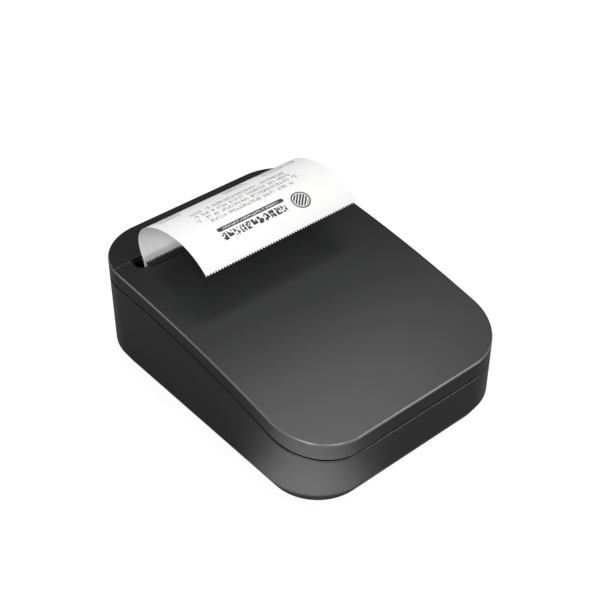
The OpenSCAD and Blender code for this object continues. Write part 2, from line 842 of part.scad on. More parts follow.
module platen_bushings() {
    color("#26262a") for (sx = [-1, 1]) {
        mirror([sx < 0 ? 1 : 0, 0, 0]) difference() {
            union() {
                rod_x(ear_x - 0.6, bush_end_x, bush_r, platen_y, platen_z);
                rod_x(ear_x - 0.6, ear_x, bush_r + 0.8, platen_y, platen_z);
            }
            rod_x(ear_x - 2, bush_end_x + 1, shaft_r + fit, platen_y, platen_z);
        }
    }
}

module print_head() {
    low = head_low + 2.5;
    color("#e7e3d6") translate([-head_half, head_y, low]) cube([2 * head_half, head_t, head_high - low]);
}

module head_plate() {
    pin_end = plate_x + frame_t;
    color("#9fa3a8") difference() {
        union() {
            translate([-head_half, head_y + head_t, head_low])
                cube([2 * head_half, plate_t, head_high - head_low]);
            rod_x(-pin_end, -head_half + e, pivot_r, pivot_y, pivot_z);
            rod_x(head_half - e, pin_end, pivot_r, pivot_y, pivot_z);
        }
        // Seats for the springs
        for (sx = [-1, 1]) {
            rod_y(head_back_y - spring_seat, back_y, spring_r + 0.6, sx * spring_x, spring_z);
        }
    }
}

module head_springs() {
    wire = 0.25;
    start = head_back_y - spring_seat + wire + 0.02;
    len = back_y - wire - 0.02 - start;
    turns = 4;
    color("#c9ccd0") for (sx = [-1, 1]) {
        translate([sx * spring_x, start, spring_z]) rotate([-90, 0, 0])
            coil(spring_r, wire, len / turns, turns);
    }
}

// Flat cable from the head, behind the motor, under the tray and up to the main board
module head_cable() {
    t = 0.3;
    w = 8;
    x0 = min(board_at[0] - board_size[0] / 2 + 2, plate_x - w - 1.5);
    head_end = pivot_y - 1;
    head_under = head_low - gap;
    down_y = back_y - 1.4;
    past_y = back_y + 4;
    over_plate = frame_low + frame_plate + 0.2;
    over_floor = floor_z + 0.1;
    up_y = board_at[1] + board_size[1] / 2 + 1;
    over_board = board_z + board_t + 0.8;
    color("#d7d3c4") {
        translate([x0, head_end, head_under - t]) cube([w, down_y + t - head_end, t]);
        translate([x0, down_y, over_plate + e]) cube([w, t, head_under - over_plate - 2 * e]);
        translate([x0, down_y, over_plate]) cube([w, past_y - down_y, t]);
        translate([x0, past_y - t, over_floor]) cube([w, t, over_plate + t - over_floor]);
        translate([x0, up_y, over_floor]) cube([w, past_y - up_y, t]);
        translate([x0, up_y, over_floor]) cube([w, t, over_board + t - over_floor]);
        translate([x0, up_y - 3.4, over_board]) cube([w, 3.4 + t, t]);
    }
}

// ---------- latch ----------

module latch_shaft() {
    color("#b9bcc0") rod_x(-hook_x - hook_t - 0.3, hook_x + hook_t + 0.3, latch_r, latch_y, latch_z);
}

// Hooks rest just outside the path of the bushings, so the cover lifts past them
module hook_shape() {
    difference() {
        union() {
            translate([latch_y, latch_z]) circle(r = 2.8);
            polygon([[latch_y - 2.6, latch_z], [latch_y + 2.6, latch_z], [latch_y - 0.6, hook_top],
                     [platen_y + 2.2, hook_top], [platen_y + 1.2, hook_top - 0.5],
                     [platen_y + bush_r + 0.5, platen_z + 1]]);
        }
        translate([hinge_y, hinge_z]) circle(r = catch_r, $fn = fine);
        translate([latch_y, latch_z]) circle(r = latch_r + 0.01);
    }
}

module latch_hooks() {
    color("#9fa3a8") {
        along_x(hook_t, -hook_x - hook_t / 2) hook_shape();
        // The hook on this side has the lever that the open button lifts
        along_x(hook_t, hook_x + hook_t / 2) union() {
            hook_shape();
            difference() {
                translate([latch_y - latch_arm, latch_z - lever_half])
                    square([latch_arm, 2 * lever_half]);
                translate([latch_y, latch_z]) circle(r = 2);
            }
            translate([latch_y - latch_arm, latch_z]) circle(r = lever_half);
        }
    }
}

module latch_spring() {
    wire = 0.25;
    turns = 3;
    pitch = 0.62;
    r = latch_r + wire + 0.12;
    x0 = -plate_x + 1.2;
    color("#c9ccd0") translate([x0, latch_y, latch_z]) rotate([0, 90, 0]) coil(r, wire, pitch, turns);
}

module open_button() {
    rise = 0.92;
    ramp = open_travel + gap;
    under = latch_z - lever_half - 0.2;
    lever_out = hook_x + hook_t;
    toe = hook_x + open_travel;
    stem_x = half_w - wall - 1.2;
    color("#232427") union() {
        translate([stem_x, open_y, open_z]) open_shape(0, half_w - 0.1 - stem_x);
        // Stop flange inside the wall
        translate([stem_x, open_y - open_w / 2 - 1, open_z - open_h / 2 - 1])
            cube([1, open_w + 2, open_h + 2]);
        // Wedge that lifts the end of the lever
        translate([0, latch_y - latch_arm + 0.4, 0]) rotate([90, 0, 0]) linear_extrude(1.6) polygon([
            [toe, under + rise * (toe - lever_out)], [toe, under - 1.6], [stem_x + e, under - 1.6],
            [stem_x + e, under + rise * ramp], [lever_out + ramp, under + rise * ramp]]);
    }
}

// ---------- electronics and power ----------

module battery_pack() {
    color("#1f2a3a") difference() {
        translate([pack_at[0] - pack_x / 2, pack_at[1] - pack_y / 2, pack_at[2]])
            cube([pack_x, pack_y, pack_z]);
        translate([pack_at[0] + pack_x / 2 - 1.5, pack_at[1] - 9, pack_at[2] + 5]) cube([3, 18, 6]);
    }
}

module battery_lid() {
    color("#26272a") difference() {
        translate([pack_at[0] - lid_x / 2 + 0.2, pack_at[1] - lid_y / 2 + 0.2, foot_h])
            cube([lid_x - 0.4, lid_y - 0.4, lid_t]);
        // Finger grip
        for (i = [-2:2]) {
            translate([pack_at[0] - 8, pack_at[1] - lid_y / 2 + 6 + i * 1.6 - 0.4, foot_h - e])
                cube([16, 0.8, 0.5]);
        }
    }
}

module main_board() {
    color("#1f5a3a")
    translate([board_at[0] - board_size[0] / 2, board_at[1] - board_size[1] / 2, board_z])
        cube([board_size[0], board_size[1], board_t]);
}

module board_chips() {
    top = board_z + board_t;
    x = board_at[0];
    y = board_at[1];
    color("#17181a") {
        translate([x - 11, y - 4, top]) cube([12, 12, 1.4]);
        translate([x - 11, y - 13, top]) cube([6, 5, 1.2]);
        translate([x - 3, y - 13, top]) cube([5, 6, 2]);
        translate([x + 5, y + 2, top]) cube([5, 7, 1.2]);
    }
}

module usb_socket() {
    x1 = half_w - 1.3;
    color("#c3c6c9") difference() {
        translate([x1 - usb_l, usb_y - usb_w / 2, board_z + board_t]) cube([usb_l, usb_w, usb_h]);
        translate([x1 - usb_l + 1.5, usb_y - usb_w / 2 + 0.3, board_z + board_t + 0.3])
            cube([usb_l, usb_w - 0.6, 0.9]);
        translate([x1 - usb_l + 1.5, usb_y - usb_w / 2 + 0.3, board_z + board_t + usb_h - 1.2])
            cube([usb_l, usb_w - 0.6, 0.9]);
    }
}

module panel_board() {
    color("#1f5a3a") translate([-panel_half, panel_y - panel_t, panel_z - 9])
        cube([2 * panel_half, panel_t, 15]);
}

module panel_switches() {
    color("#202124") {
        for (x = [power_x, feed_x]) {
            translate([x - 3, panel_y, panel_z - 3]) cube([6, 1.1, 6]);
        }
        for (x = led_x) {
            translate([x - 0.8, panel_y, panel_z - 0.6]) cube([1.6, 0.7, 1.2]);
        }
    }
}

module led_lenses() {
    color("#cfe3d2") for (x = led_x) {
        rod_y(far_y - wall - 0.6, far_y - 0.05, led_r, x, panel_z);
        rod_y(panel_y + 0.9, far_y - wall - 0.6 + e, led_r - 0.3, x, panel_z);
    }
}

module power_button() {
    color("#3a3b3e") {
        rod_y(far_y - wall - 0.5, far_y - 0.05, power_r, power_x, panel_z);
        rod_y(far_y - wall - 1.2, far_y - wall - 0.2, power_r + key_flange, power_x, panel_z);
        rod_y(panel_y + 1.1 + key_travel + 0.1, far_y - wall - 1.1, 1.4, power_x, panel_z);
    }
}

module feed_button() {
    color("#3a3b3e") {
        translate([0, far_y - wall - 0.5, 0]) feed_shape(0, wall + 0.45);
        translate([0, far_y - wall - 1.2, 0]) feed_shape(key_flange, 1);
        rod_y(panel_y + 1.1 + key_travel + 0.1, far_y - wall - 1.1, 1.4, feed_x, panel_z);
    }
}

// ---------- fasteners ----------

module case_screws() {
    color("#8a8d92") {
        for (p = base_screws) {
            translate([p[0], p[1], foot_h + screw_sink]) mirror([0, 0, 1])
                screw(screw_end(p) + screw_bite - foot_h - screw_sink);
        }
        for (p = mech_holes) {
            translate([p[0], p[1], frame_low + frame_plate]) screw(4);
        }
    }
}

module cover_screws() {
    color("#8a8d92") for (p = cover_holes) {
        translate([p[0], p[1], carrier_z(p[1])]) mirror([0, 0, 1]) screw(4);
    }
}

module clip_inserts() {
    color("#b5975a") for (sx = [-1, 1]) {
        translate([sx * clip_span / 2, clip_y, foot_h]) difference() {
            cylinder(r = clip_out_r, h = wall);
            translate([0, 0, -1]) cylinder(r = clip_r, h = wall + 2);
        }
    }
}

// ---------- cover ----------

module paper_cover() {
    color("#2b2c2f") difference() {
        union() {
            difference() {
                upper_shell();
                beyond_seam(-part_gap / 2);
                translate([-slot_x, slot_near_y, 0]) cube([2 * slot_x, body_d, far_h + 10]);
            }
            intersection() {
                union() {
                    hinge_lugs();
                    for (p = cover_holes) {
                        translate([p[0], p[1], carrier_z(p[1]) + carrier_t + gap])
                            cylinder(r = 2.6, h = far_h);
                    }
                }
                under_top(wall / 2);
            }
        }
        rod_x(-hinge_reach - 0.5, hinge_reach + 0.5, hinge_r + fit, hinge_y, hinge_z);
        for (p = cover_holes) {
            translate([p[0], p[1], carrier_z(p[1]) - 1]) cylinder(r = screw_r + fit, h = 5.2);
        }
        // Seat for the tear bar
        translate([-bar_x - 0.1, bar_y - 0.1, bar_z - 0.1]) cube([2 * bar_x + 0.2, bar_w + 5, far_h]);
    }
}

module hinge_lugs() {
    for (sx = [-1, 1], side = [-1, 1]) {
        x = sx * knuckle_x + side * (knuckle_w / 2 + gap + lug_w / 2);
        rod_x(x - lug_w / 2, x + lug_w / 2, knuckle_r, hinge_y, hinge_z);
        along_x(lug_w, x) polygon([[hinge_y - knuckle_r, hinge_z], [hinge_y + knuckle_r, hinge_z],
            [hinge_y + 4.5, hinge_z + 10], [hinge_y - knuckle_r - 0.8, hinge_z + 10]]);
    }
}

module tear_bar() {
    teeth = floor(2 * bar_x / tooth_pitch);
    x0 = -teeth * tooth_pitch / 2;
    color("#101012") translate([0, 0, bar_z]) linear_extrude(bar_t) polygon(concat(
        [[bar_x, bar_y], [-bar_x, bar_y], [-bar_x, bar_y + bar_w - tooth_h]],
        [for (i = [0:teeth - 1], k = [0, 1])
            [x0 + (i + k / 2) * tooth_pitch, bar_y + bar_w - (k == 0 ? tooth_h : 0)]],
        [[bar_x, bar_y + bar_w - tooth_h]]));
}

// Carrier for the platen, screwed under the cover
module cover_frame() {
    near_z = carrier_z(carrier_near_y);
    color("#303134") difference() {
        union() {
            along_x(2 * (ear_x + ear_t)) polygon([
                [carrier_near_y, near_z + carrier_t], [carrier_near_y, near_z],
                [platen_y - platen_r - 2.5, carrier_z(platen_y - 8)],
                [platen_y - platen_r - 1.2, platen_z + 1], [platen_y - platen_r - 2.2, platen_z - 2],
                [platen_y - platen_r - 1, platen_z - 2.4], [platen_y - platen_r - 0.6, platen_z + 2],
                [platen_y - platen_r - 1.2, carrier_z(platen_y - 7) + carrier_t]]);
            for (sx = [-1, 1]) {
                along_x(ear_t, sx * (ear_x + ear_t / 2)) polygon([
                    [carrier_near_y, near_z], [platen_y - 4.6, platen_z - 3],
                    [platen_y - 1.5, platen_z - 4.4], [platen_y + 1.5, platen_z - 4.4],
                    [platen_y + 4.4, platen_z - 1], [platen_y + 4.4, platen_z + 2],
                    [platen_y + 1, platen_z + 5.6], [platen_y - 8, platen_z + 5.6],
                    [carrier_near_y, near_z + 3]]);
            }
            // Guide ribs over the roll
            for (i = [-2:2]) {
                along_x(1.2, i * paper_x / 2.6) polygon([
                    [carrier_near_y + 1, near_z + e], [carrier_near_y + 3, near_z - 1.4],
                    [platen_y - platen_r - 4, carrier_z(platen_y - 9) - 1.4],
                    [platen_y - platen_r - 2.4, carrier_z(platen_y - 8) + e]]);
            }
        }
        rod_x(-ear_x - ear_t - 1, ear_x + ear_t + 1, bush_r + fit, platen_y, platen_z);
        rod_x(-ear_x + e, ear_x - e, platen_r + 0.5, platen_y, platen_z);
        for (p = cover_holes) {
            translate([p[0], p[1], carrier_z(p[1]) - 3]) cylinder(r = screw_r + seat, h = 8);
            translate([p[0], p[1], carrier_z(p[1]) - 8]) cylinder(r = screw_head_r + 0.2, h = 8);
        }
    }
}

// ---------- paper ----------

module paper_roll() {
    color("#f4f3ef") difference() {
        rod_x(-paper_x, paper_x, roll_r, roll_y, roll_z);
        rod_x(-paper_x - 1, paper_x + 1, core_d / 2, roll_y, roll_z);
    }
}

module roll_core() {
    color("#b08f66") difference() {
        rod_x(-paper_x, paper_x, core_d / 2, roll_y, roll_z);
        rod_x(-paper_x - 1, paper_x + 1, core_bore / 2, roll_y, roll_z);
    }
}

module paper_web() {
    arc_steps = 8;
    wrap = [for (i = [0:arc_steps])
        let (a = web_turn - 90 - (web_turn - 90) * i / arc_steps)
        [platen_y + web_r * cos(a), platen_z + web_r * sin(a)]];
    clear_z = head_high + 0.1;
    rise = [for (i = [0:6])
        let (t = i / 6)
        [nip_y + (strip_foot[0] - nip_y - 0.1) * t * t, clear_z + (strip_foot[1] - 0.35 - clear_z) * t]];
    color("#f4f3ef") paper_sheet(concat([web_from], wrap, rise));
}

module receipt_strip() {
    foot = [for (i = [0:6])
        let (a = -exit_turn + exit_turn * i / 6)
        [curl_y + curl_run - exit_r + exit_r * cos(a), curl_mid_z + exit_r * sin(a)]];
    back = [for (i = [1:16])
        let (a = 90 * i / 16)
        [curl_y + curl_run * cos(a), curl_mid_z + curl_up * sin(a)]];
    tail = [for (i = [1:12])
        let (a = 90 + tail_turn * i / 12)
        [curl_y + tail_r * cos(a), curl_mid_z + curl_up - tail_r + tail_r * sin(a)]];
    color("#f7f6f2") paper_sheet(concat(foot, back, tail));
}

// ---------- the assembly ----------

bottom_case();
front_cap();
paper_tray();
mechanism_frame();
battery_pack();
battery_lid();
main_board();
board_chips();
usb_socket();
panel_board();
panel_switches();
led_lenses();
power_button();
feed_button();
rubber_feet();
case_screws();
clip_inserts();
stepper_motor();
motor_pinion();
reduction_gear();
gear_axle();
print_head();
head_plate();
head_springs();
head_cable();
latch_shaft();
latch_hooks();
latch_spring();
open_button();
paper_cover();
cover_frame();
cover_screws();
tear_bar();
platen_shaft();
platen_rubber();
platen_gear();
platen_bushings();
hinge_shaft();
paper_roll();
roll_core();
paper_web();
receipt_strip();
paper_sensor();
cover_switch();
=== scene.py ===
import math

import bmesh
import bpy
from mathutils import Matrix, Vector
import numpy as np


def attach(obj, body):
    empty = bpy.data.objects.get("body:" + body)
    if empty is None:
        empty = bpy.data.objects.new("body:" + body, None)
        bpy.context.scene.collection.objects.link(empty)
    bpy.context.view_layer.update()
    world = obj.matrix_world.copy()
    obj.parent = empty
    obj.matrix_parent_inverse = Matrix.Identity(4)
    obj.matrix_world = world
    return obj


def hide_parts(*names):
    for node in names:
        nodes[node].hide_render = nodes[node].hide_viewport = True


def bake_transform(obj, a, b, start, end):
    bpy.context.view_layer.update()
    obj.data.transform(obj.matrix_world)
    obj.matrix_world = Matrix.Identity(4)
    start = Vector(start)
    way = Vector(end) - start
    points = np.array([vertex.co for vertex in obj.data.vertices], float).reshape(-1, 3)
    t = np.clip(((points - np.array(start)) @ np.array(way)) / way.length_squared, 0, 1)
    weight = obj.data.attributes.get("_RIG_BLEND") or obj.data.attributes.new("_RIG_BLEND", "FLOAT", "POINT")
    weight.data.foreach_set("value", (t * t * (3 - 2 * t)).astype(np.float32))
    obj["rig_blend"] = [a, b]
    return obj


# A portable receipt printer. Its pieces are drawn in millimetres, the paper leaves
# near the +Y end and the cover hinges at the other.
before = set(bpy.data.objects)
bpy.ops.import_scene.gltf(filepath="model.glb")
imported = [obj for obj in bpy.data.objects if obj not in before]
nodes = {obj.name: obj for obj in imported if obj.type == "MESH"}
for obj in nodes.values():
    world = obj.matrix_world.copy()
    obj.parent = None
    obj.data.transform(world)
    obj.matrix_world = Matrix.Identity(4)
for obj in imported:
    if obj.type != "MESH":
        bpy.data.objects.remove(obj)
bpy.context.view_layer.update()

# ---------- Studio ----------
# A pale floor, soft light from large panels and one camera. Some panels light
# only the shells and some only the paper. None of it is part of the printer.
scene = bpy.context.scene
scene.view_settings.view_transform = "Standard"
eye = bpy.data.cameras.new("camera")
camera = bpy.data.objects.new("camera", eye)
scene.collection.objects.link(camera)
scene.camera = camera
eye.lens, eye.sensor_width = 78.418, 36
eye.clip_start, eye.clip_end = 0.01, 50
eye_line = Vector((0.508652, 0.593077, -0.624125))
camera.location = (-0.269600, -0.312851, 0.369316)
camera.rotation_mode = "QUATERNION"
camera.rotation_quaternion = eye_line.to_track_quat("-Z", "Y")

shell_lit = bpy.data.collections.new("shell_lit")
sheet_lit = bpy.data.collections.new("sheet_lit")
but_sheet = bpy.data.collections.new("but_sheet")
lamp_aim = Vector((0, 0, 0.03))


def panel(name, place, width, height, power, only):
    """A soft rectangular lamp that lights one collection alone."""
    light = bpy.data.lights.new(name, "AREA")
    light.shape = "RECTANGLE"
    light.size, light.size_y = width, height
    light.energy = power
    made = bpy.data.objects.new(name, light)
    scene.collection.objects.link(made)
    made.location = place
    made.rotation_mode = "QUATERNION"
    made.rotation_quaternion = (lamp_aim - Vector(place)).to_track_quat("-Z", "Y")
    made.visible_camera = False
    made.light_linking.receiver_collection = only


rim_panels = [((-0.62, 0.59, 0.51), 1.4), ((-0.71, 0.15, 0.68), 1.4), ((-0.38, -0.48, 0.78), 9.0),
              ((0.05, -0.68, 0.73), 5.5), ((0.51, -0.62, 0.59), 3.0), ((-0.76, 0.59, 0.22), 0.2),
              ((-0.62, -0.76, 0.22), 1.6), ((0.50, -0.80, 0.22), 1.3)]
panel("overhead", (0.23, -0.04, 0.98), 0.7, 0.7, 8.4, but_sheet)
for number, (place, power) in enumerate(rim_panels):
    panel(f"rim_{number}", place, 0.3, 0.3, power, shell_lit)
panel("sheet_top", (0.10, -0.14, 1.0), 0.7, 0.7, 6.8, sheet_lit)
panel("sheet_front", (-0.40, -0.90, 0.22), 0.4, 0.2, 2.2, sheet_lit)
panel("sheet_side", (-0.62, -0.45, 0.64), 0.4, 0.4, 7.7, sheet_lit)
panel("sheet_back", (0.10, 0.60, 0.75), 0.4, 0.4, 3, sheet_lit)

world = bpy.data.worlds.new("room")
scene.world = world
world.use_nodes = True
room = world.node_tree
room_light = room.nodes["Background"]
backdrop = room.nodes.new("ShaderNodeBackground")
for shade, strength in ((room_light, 0.11), (backdrop, 1.0)):
    shade.inputs["Color"].default_value = (1, 1, 1, 1)
    shade.inputs["Strength"].default_value = strength
seen = room.nodes.new("ShaderNodeLightPath")
either = room.nodes.new("ShaderNodeMixShader")
room.links.new(seen.outputs["Is Camera Ray"], either.inputs[0])
room.links.new(room_light.outputs[0], either.inputs[1])
room.links.new(backdrop.outputs[0], either.inputs[2])
room.links.new(either.outputs[0], room.nodes["World Output"].inputs[0])


class Wire:
    """A value in a material. Sums on it add Math nodes."""

    def __init__(self, paint, socket):
        self.paint = paint
        self.socket = socket

    def sum(self, kind, *values):
        return self.paint.node("Math", {"operation": kind}, values)

    def __add__(self, other):
        return self.sum("ADD", self, other)

    def __radd__(self, other):
        return self.sum("ADD", other, self)

    def __sub__(self, other):
        return self.sum("SUBTRACT", self, other)

    def __rsub__(self, other):
        return self.sum("SUBTRACT", other, self)

    def __mul__(self, other):
        return self.sum("MULTIPLY", self, other)

    def __rmul__(self, other):
        return self.sum("MULTIPLY", other, self)

    def __truediv__(self, other):
        return self.sum("DIVIDE", self, other)

    def __mod__(self, other):
        return self.sum("FLOORED_MODULO", self, other)

    def __lt__(self, other):
        return self.sum("LESS_THAN", self, other)

    def __gt__(self, other):
        return self.sum("GREATER_THAN", self, other)

    def __abs__(self):
        return self.sum("ABSOLUTE", self)


mm = 0.001


class Paint:
    """A material with one Principled shader and the nodes that feed it."""

    def __init__(self, name, **fixed):
        self.material = bpy.data.materials.new(name)
        self.material.use_nodes = True
        self.tree = self.material.node_tree
        self.shader = self.tree.nodes["Principled BSDF"]
        self.feed(**fixed)

    def node(self, kind, settings=None, inputs=(), out=0):
        """Adds a node: its settings are set first, then its sockets' values or links."""
        made = self.tree.nodes.new("ShaderNode" + kind)
        for key, value in (settings or {}).items():
            setattr(made, key, value)
        pairs = inputs.items() if isinstance(inputs, dict) else enumerate(inputs)
        for key, value in pairs:
            if isinstance(value, Wire):
                self.tree.links.new(value.socket, made.inputs[key])
            else:
                made.inputs[key].default_value = value
        return Wire(self, made.outputs[out])

    def feed(self, **values):
        """Sets or links the shader's own sockets."""
        for key, value in values.items():
            socket = self.shader.inputs[key.replace("_", " ")]
            if isinstance(value, Wire):
                self.tree.links.new(value.socket, socket)
            else:
                socket.default_value = (*value, 1) if isinstance(value, tuple) else value

    def place(self):
        return self.node("TexCoord", out="Object")

    def drawn_out(self, stretch):
        """The place, for marks that are drawn out along each axis by stretch."""
        return self.node("VectorMath", {"operation": "DIVIDE"}, [self.place(), stretch])

    def axis(self, where, number):
        return self.node("SeparateXYZ", None, [where], number)

    def ramp(self, value, low, high):
        """Rises smoothly from nought at low to one at high."""
        return self.node("MapRange", {"interpolation_type": "SMOOTHSTEP"},
                         [value, low, high, 0.0, 1.0])

    def noise(self, size, detail=2, rough=0.5, where=None):
        """Noise whose grains are about size millimetres."""
        where = where or self.place()
        return self.node("TexNoise", None, {"Vector": where, "Scale": 1 / (size * mm),
                                            "Detail": detail, "Roughness": rough})

    def mix(self, mask, low, high):
        low = (*low, 1) if isinstance(low, tuple) else low
        high = (*high, 1) if isinstance(high, tuple) else high
        return self.node("Mix", {"data_type": "RGBA"}, {0: mask, 6: low, 7: high}, 2)

    def bump(self, height, depth):
        """A bump whose full height is depth millimetres."""
        return self.node("Bump", None, {"Strength": 1.0, "Distance": depth * mm, "Height": height})

    def show(self, mask, one, two):
        """Ends the material in a mix of two shaders."""
        last = self.node("MixShader", None, [mask, one, two])
        self.tree.links.new(last.socket, self.tree.nodes["Material Output"].inputs[0])

    def principled(self):
        return Wire(self, self.shader.outputs[0])

    def glow_through(self, colour, share):
        """Lets light through, as a thin sheet does."""
        self.show(share, self.principled(),
                  self.node("BsdfTranslucent", None, {"Color": (*colour, 1)}))


floor_mesh = bpy.data.meshes.new("floor")
floor_mesh.from_pydata([(-4, -4, 0), (4, -4, 0), (4, 4, 0), (-4, 4, 0)], [], [(0, 1, 2, 3)])
floor = bpy.data.objects.new("floor", floor_mesh)
scene.collection.objects.link(floor)

# The eye sees a white floor. The printer sees a grey one, with a bright patch
# outside its near corner that the corner's wall mirrors.
floor_paint = Paint("floor_paint", Base_Color=(0.16, 0.16, 0.16), Roughness=0.9,
                    Emission_Color=(1.0, 1.0, 1.0), Emission_Strength=0.96)
near_corner, patch_line, patch_run = (-0.031, -0.048, 0.0), (-0.743, -0.669, 0.0), 0.16
from_corner = floor_paint.node("VectorMath", {"operation": "SUBTRACT"},
                               [floor_paint.place(), near_corner])
heading = floor_paint.node("VectorMath", {"operation": "NORMALIZE"}, [from_corner])
toward = floor_paint.node("VectorMath", {"operation": "DOT_PRODUCT"}, [heading, patch_line],
                          "Value")
reach = floor_paint.node("VectorMath", {"operation": "LENGTH"}, [from_corner], "Value")
beam = floor_paint.node("Math", {"operation": "MAXIMUM"}, [toward, 0.0])
fade = floor_paint.node("Math", {"operation": "MAXIMUM"}, [1 - reach / patch_run, 0.0])
clear_of_foot = floor_paint.ramp(reach, 0.022, 0.0315)
grey_floor = floor_paint.node("BsdfDiffuse", None, {"Color": (0.17, 0.17, 0.17, 1)})
dim, bright = (floor_paint.node("Emission", None, {"Strength": power}) for power in (0.12, 4.72))
patch = floor_paint.node("MixShader", None, [beam * beam * fade * clear_of_foot, dim, bright])
bounced = floor_paint.node("AddShader", None, [grey_floor, patch])
ray = floor_paint.node("LightPath", out="Is Camera Ray")
floor_paint.show(ray, bounced, floor_paint.principled())
floor.data.materials.append(floor_paint.material)

# ---------- Bottom case ----------
# A deep tub injection moulded in charcoal ABS with a fine spark texture. Its
# bottom edge is cut in at a slope, and the cover and end cap close on its rim.
body_w, body_d, corner_r = 110.0, 144.0, 24.0
half_w, far_y, near_y = body_w / 2, body_d / 2, -body_d / 2
corner_x, corner_y = half_w - corner_r, far_y - corner_r
wall, foot_h, rim_gap = 2.0, 0.5, 0.9
floor_z = foot_h + wall
edge_in, edge_up = 3.2, 6.2
crest_y, crest_z, part_r = 59.0, 41.75, 492.28345
hinge_y, hinge_z, swing_gap = -67.5, 28.2, 0.17


def part_z(y):
    """Height of the open line between the case and what closes on it."""
    return crest_z - part_r + math.sqrt(part_r**2 - (crest_y - y) ** 2)


def moulded(name, colour, rough, grain=0.35, depth=0.012, shine=0.5, rim=None):
    """Moulded plastic with a fine spark texture. A rim mask gives a lighter colour there, a painted
    highlight, and a little less roughness.
    """
    paint = Paint(name, Specular_IOR_Level=shine)
    fine = paint.noise(grain, 3, 0.6)
    broad = paint.noise(34, 2, 0.4)
    light = tuple(min(1, c * 1.14) for c in colour)
    dark = tuple(c * 0.88 for c in colour)
    body = paint.mix(fine * 0.7 + broad * 0.3, dark, light)
    gloss = rough - 0.05 + fine * 0.06 + broad * 0.04
    if rim:
        # The rim mask lightens the colour as a painted highlight, and lowers the roughness.
        rim_highlight = rim(paint)
        body = paint.mix(rim_highlight, body, (0.058, 0.058, 0.0585))
        gloss = gloss - rim_highlight * 0.12
    paint.feed(Base_Color=body, Roughness=gloss, Normal=paint.bump(fine, depth))
    return paint.material


charcoal, satin, dull_shine = (0.0062, 0.0064, 0.0069), 0.34, 0.36
case_plastic = moulded("case_plastic", charcoal, satin, shine=dull_shine)


def arc(a, b, r, turns):
    """Points on a circle, at turns in degrees."""
    return [(a + r * math.cos(math.radians(turn)), b + r * math.sin(math.radians(turn)))
            for turn in turns]


def ring_of(a, b, r, count=32):
    return arc(a, b, r, [360 * i / count for i in range(count)])


def rounded(a, b, half_a, half_b, r, count=6):
    """A rectangle about its middle, with rounded corners."""
    shape = []
    for side_a, side_b, start in ((1, 1, 0), (-1, 1, 90), (-1, -1, 180), (1, -1, 270)):
        shape += arc(a + side_a * (half_a - r), b + side_b * (half_b - r), r,
                     [start + 90 * i / count for i in range(count + 1)])
    return shape


def outline(inset, far_turns):
    """The case's rounded outline, right side from near to far and then the left side back."""
    side = arc(corner_x, -corner_y, corner_r - inset, range(-90, 1, 3))
    side += [(half_w - inset, y) for y in range(-40, 41, 8)]
    side += arc(corner_x, corner_y, corner_r - inset, far_turns)
    return side + [(-x, y) for x, y in reversed(side)]


def to_object(name, bm):
    """Turns a mesh in millimetres into an object, which finished() brings to metres."""
    bmesh.ops.recalc_face_normals(bm, faces=bm.faces)
    mesh = bpy.data.meshes.new(name)
    bm.to_mesh(mesh)
    bm.free()
    made = bpy.data.objects.new(name, mesh)
    scene.collection.objects.link(made)
    return made


def skin(bm, rows):
    """Joins each closed row of points to the next one."""
    for low, high in zip(rows, rows[1:]):
        for i in range(len(low)):
            j = (i + 1) % len(low)
            bm.faces.new((low[i], low[j], high[j], high[i]))


even_turns = range(0, 91, 3)


def loft(name, rings, far_turns=even_turns):
    """A closed solid through rings of (inset, height), with both ends filled across."""
    bm = bmesh.new()
    rows = []
    for inset, height in rings:
        rows.append([bm.verts.new((x, y, height(x, y) if callable(height) else height))
                     for x, y in outline(inset, far_turns)])
    skin(bm, rows)
    count = len(rows[0])
    for row in (rows[0], rows[-1]):
        for i in range(count // 2 - 1):
            bm.faces.new((row[i], row[i + 1], row[count - 2 - i], row[count - 1 - i]))
    return to_object(name, bm)


def prism(name, shape, axis, low, high):
    """A closed prism: a list of two-number corners, pushed along an axis."""
    bm = bmesh.new()
    put = {"x": lambda a, b, c: (c, a, b), "y": lambda a, b, c: (a, c, b),
           "z": lambda a, b, c: (a, b, c)}[axis]
    ends = [[bm.verts.new(put(a, b, c)) for a, b in shape] for c in (low, high)]
    skin(bm, ends)
    for end in ends:
        bm.faces.new(end)
    return to_object(name, bm)


def post(x, y, r, low, high):
    return prism("post", ring_of(x, y, r, 28), "z", low, high)


def join(first, *others):
    """Adds the meshes of other objects to the first."""
    bm = bmesh.new()
    for thing in (first, *others):
        bm.from_mesh(thing.data)
        if thing is not first:
            bpy.data.objects.remove(thing)
    bm.to_mesh(first.data)
    bm.free()
    return first


def bake(thing):
    """Fixes an object's modifiers into its mesh."""
    view = bpy.context.evaluated_depsgraph_get()
    mesh = bpy.data.meshes.new_from_object(thing.evaluated_get(view))
    thing.modifiers.clear()
    thing.data = mesh


def carve(thing, tool, kind="DIFFERENCE"):
    """Cuts a tool out of an object, or joins or keeps what they share."""
    step = thing.modifiers.new("carve", "BOOLEAN")
    step.operation = kind
    step.solver = "EXACT"
    step.object = tool
    bake(thing)
    bpy.data.objects.remove(tool)
    return thing


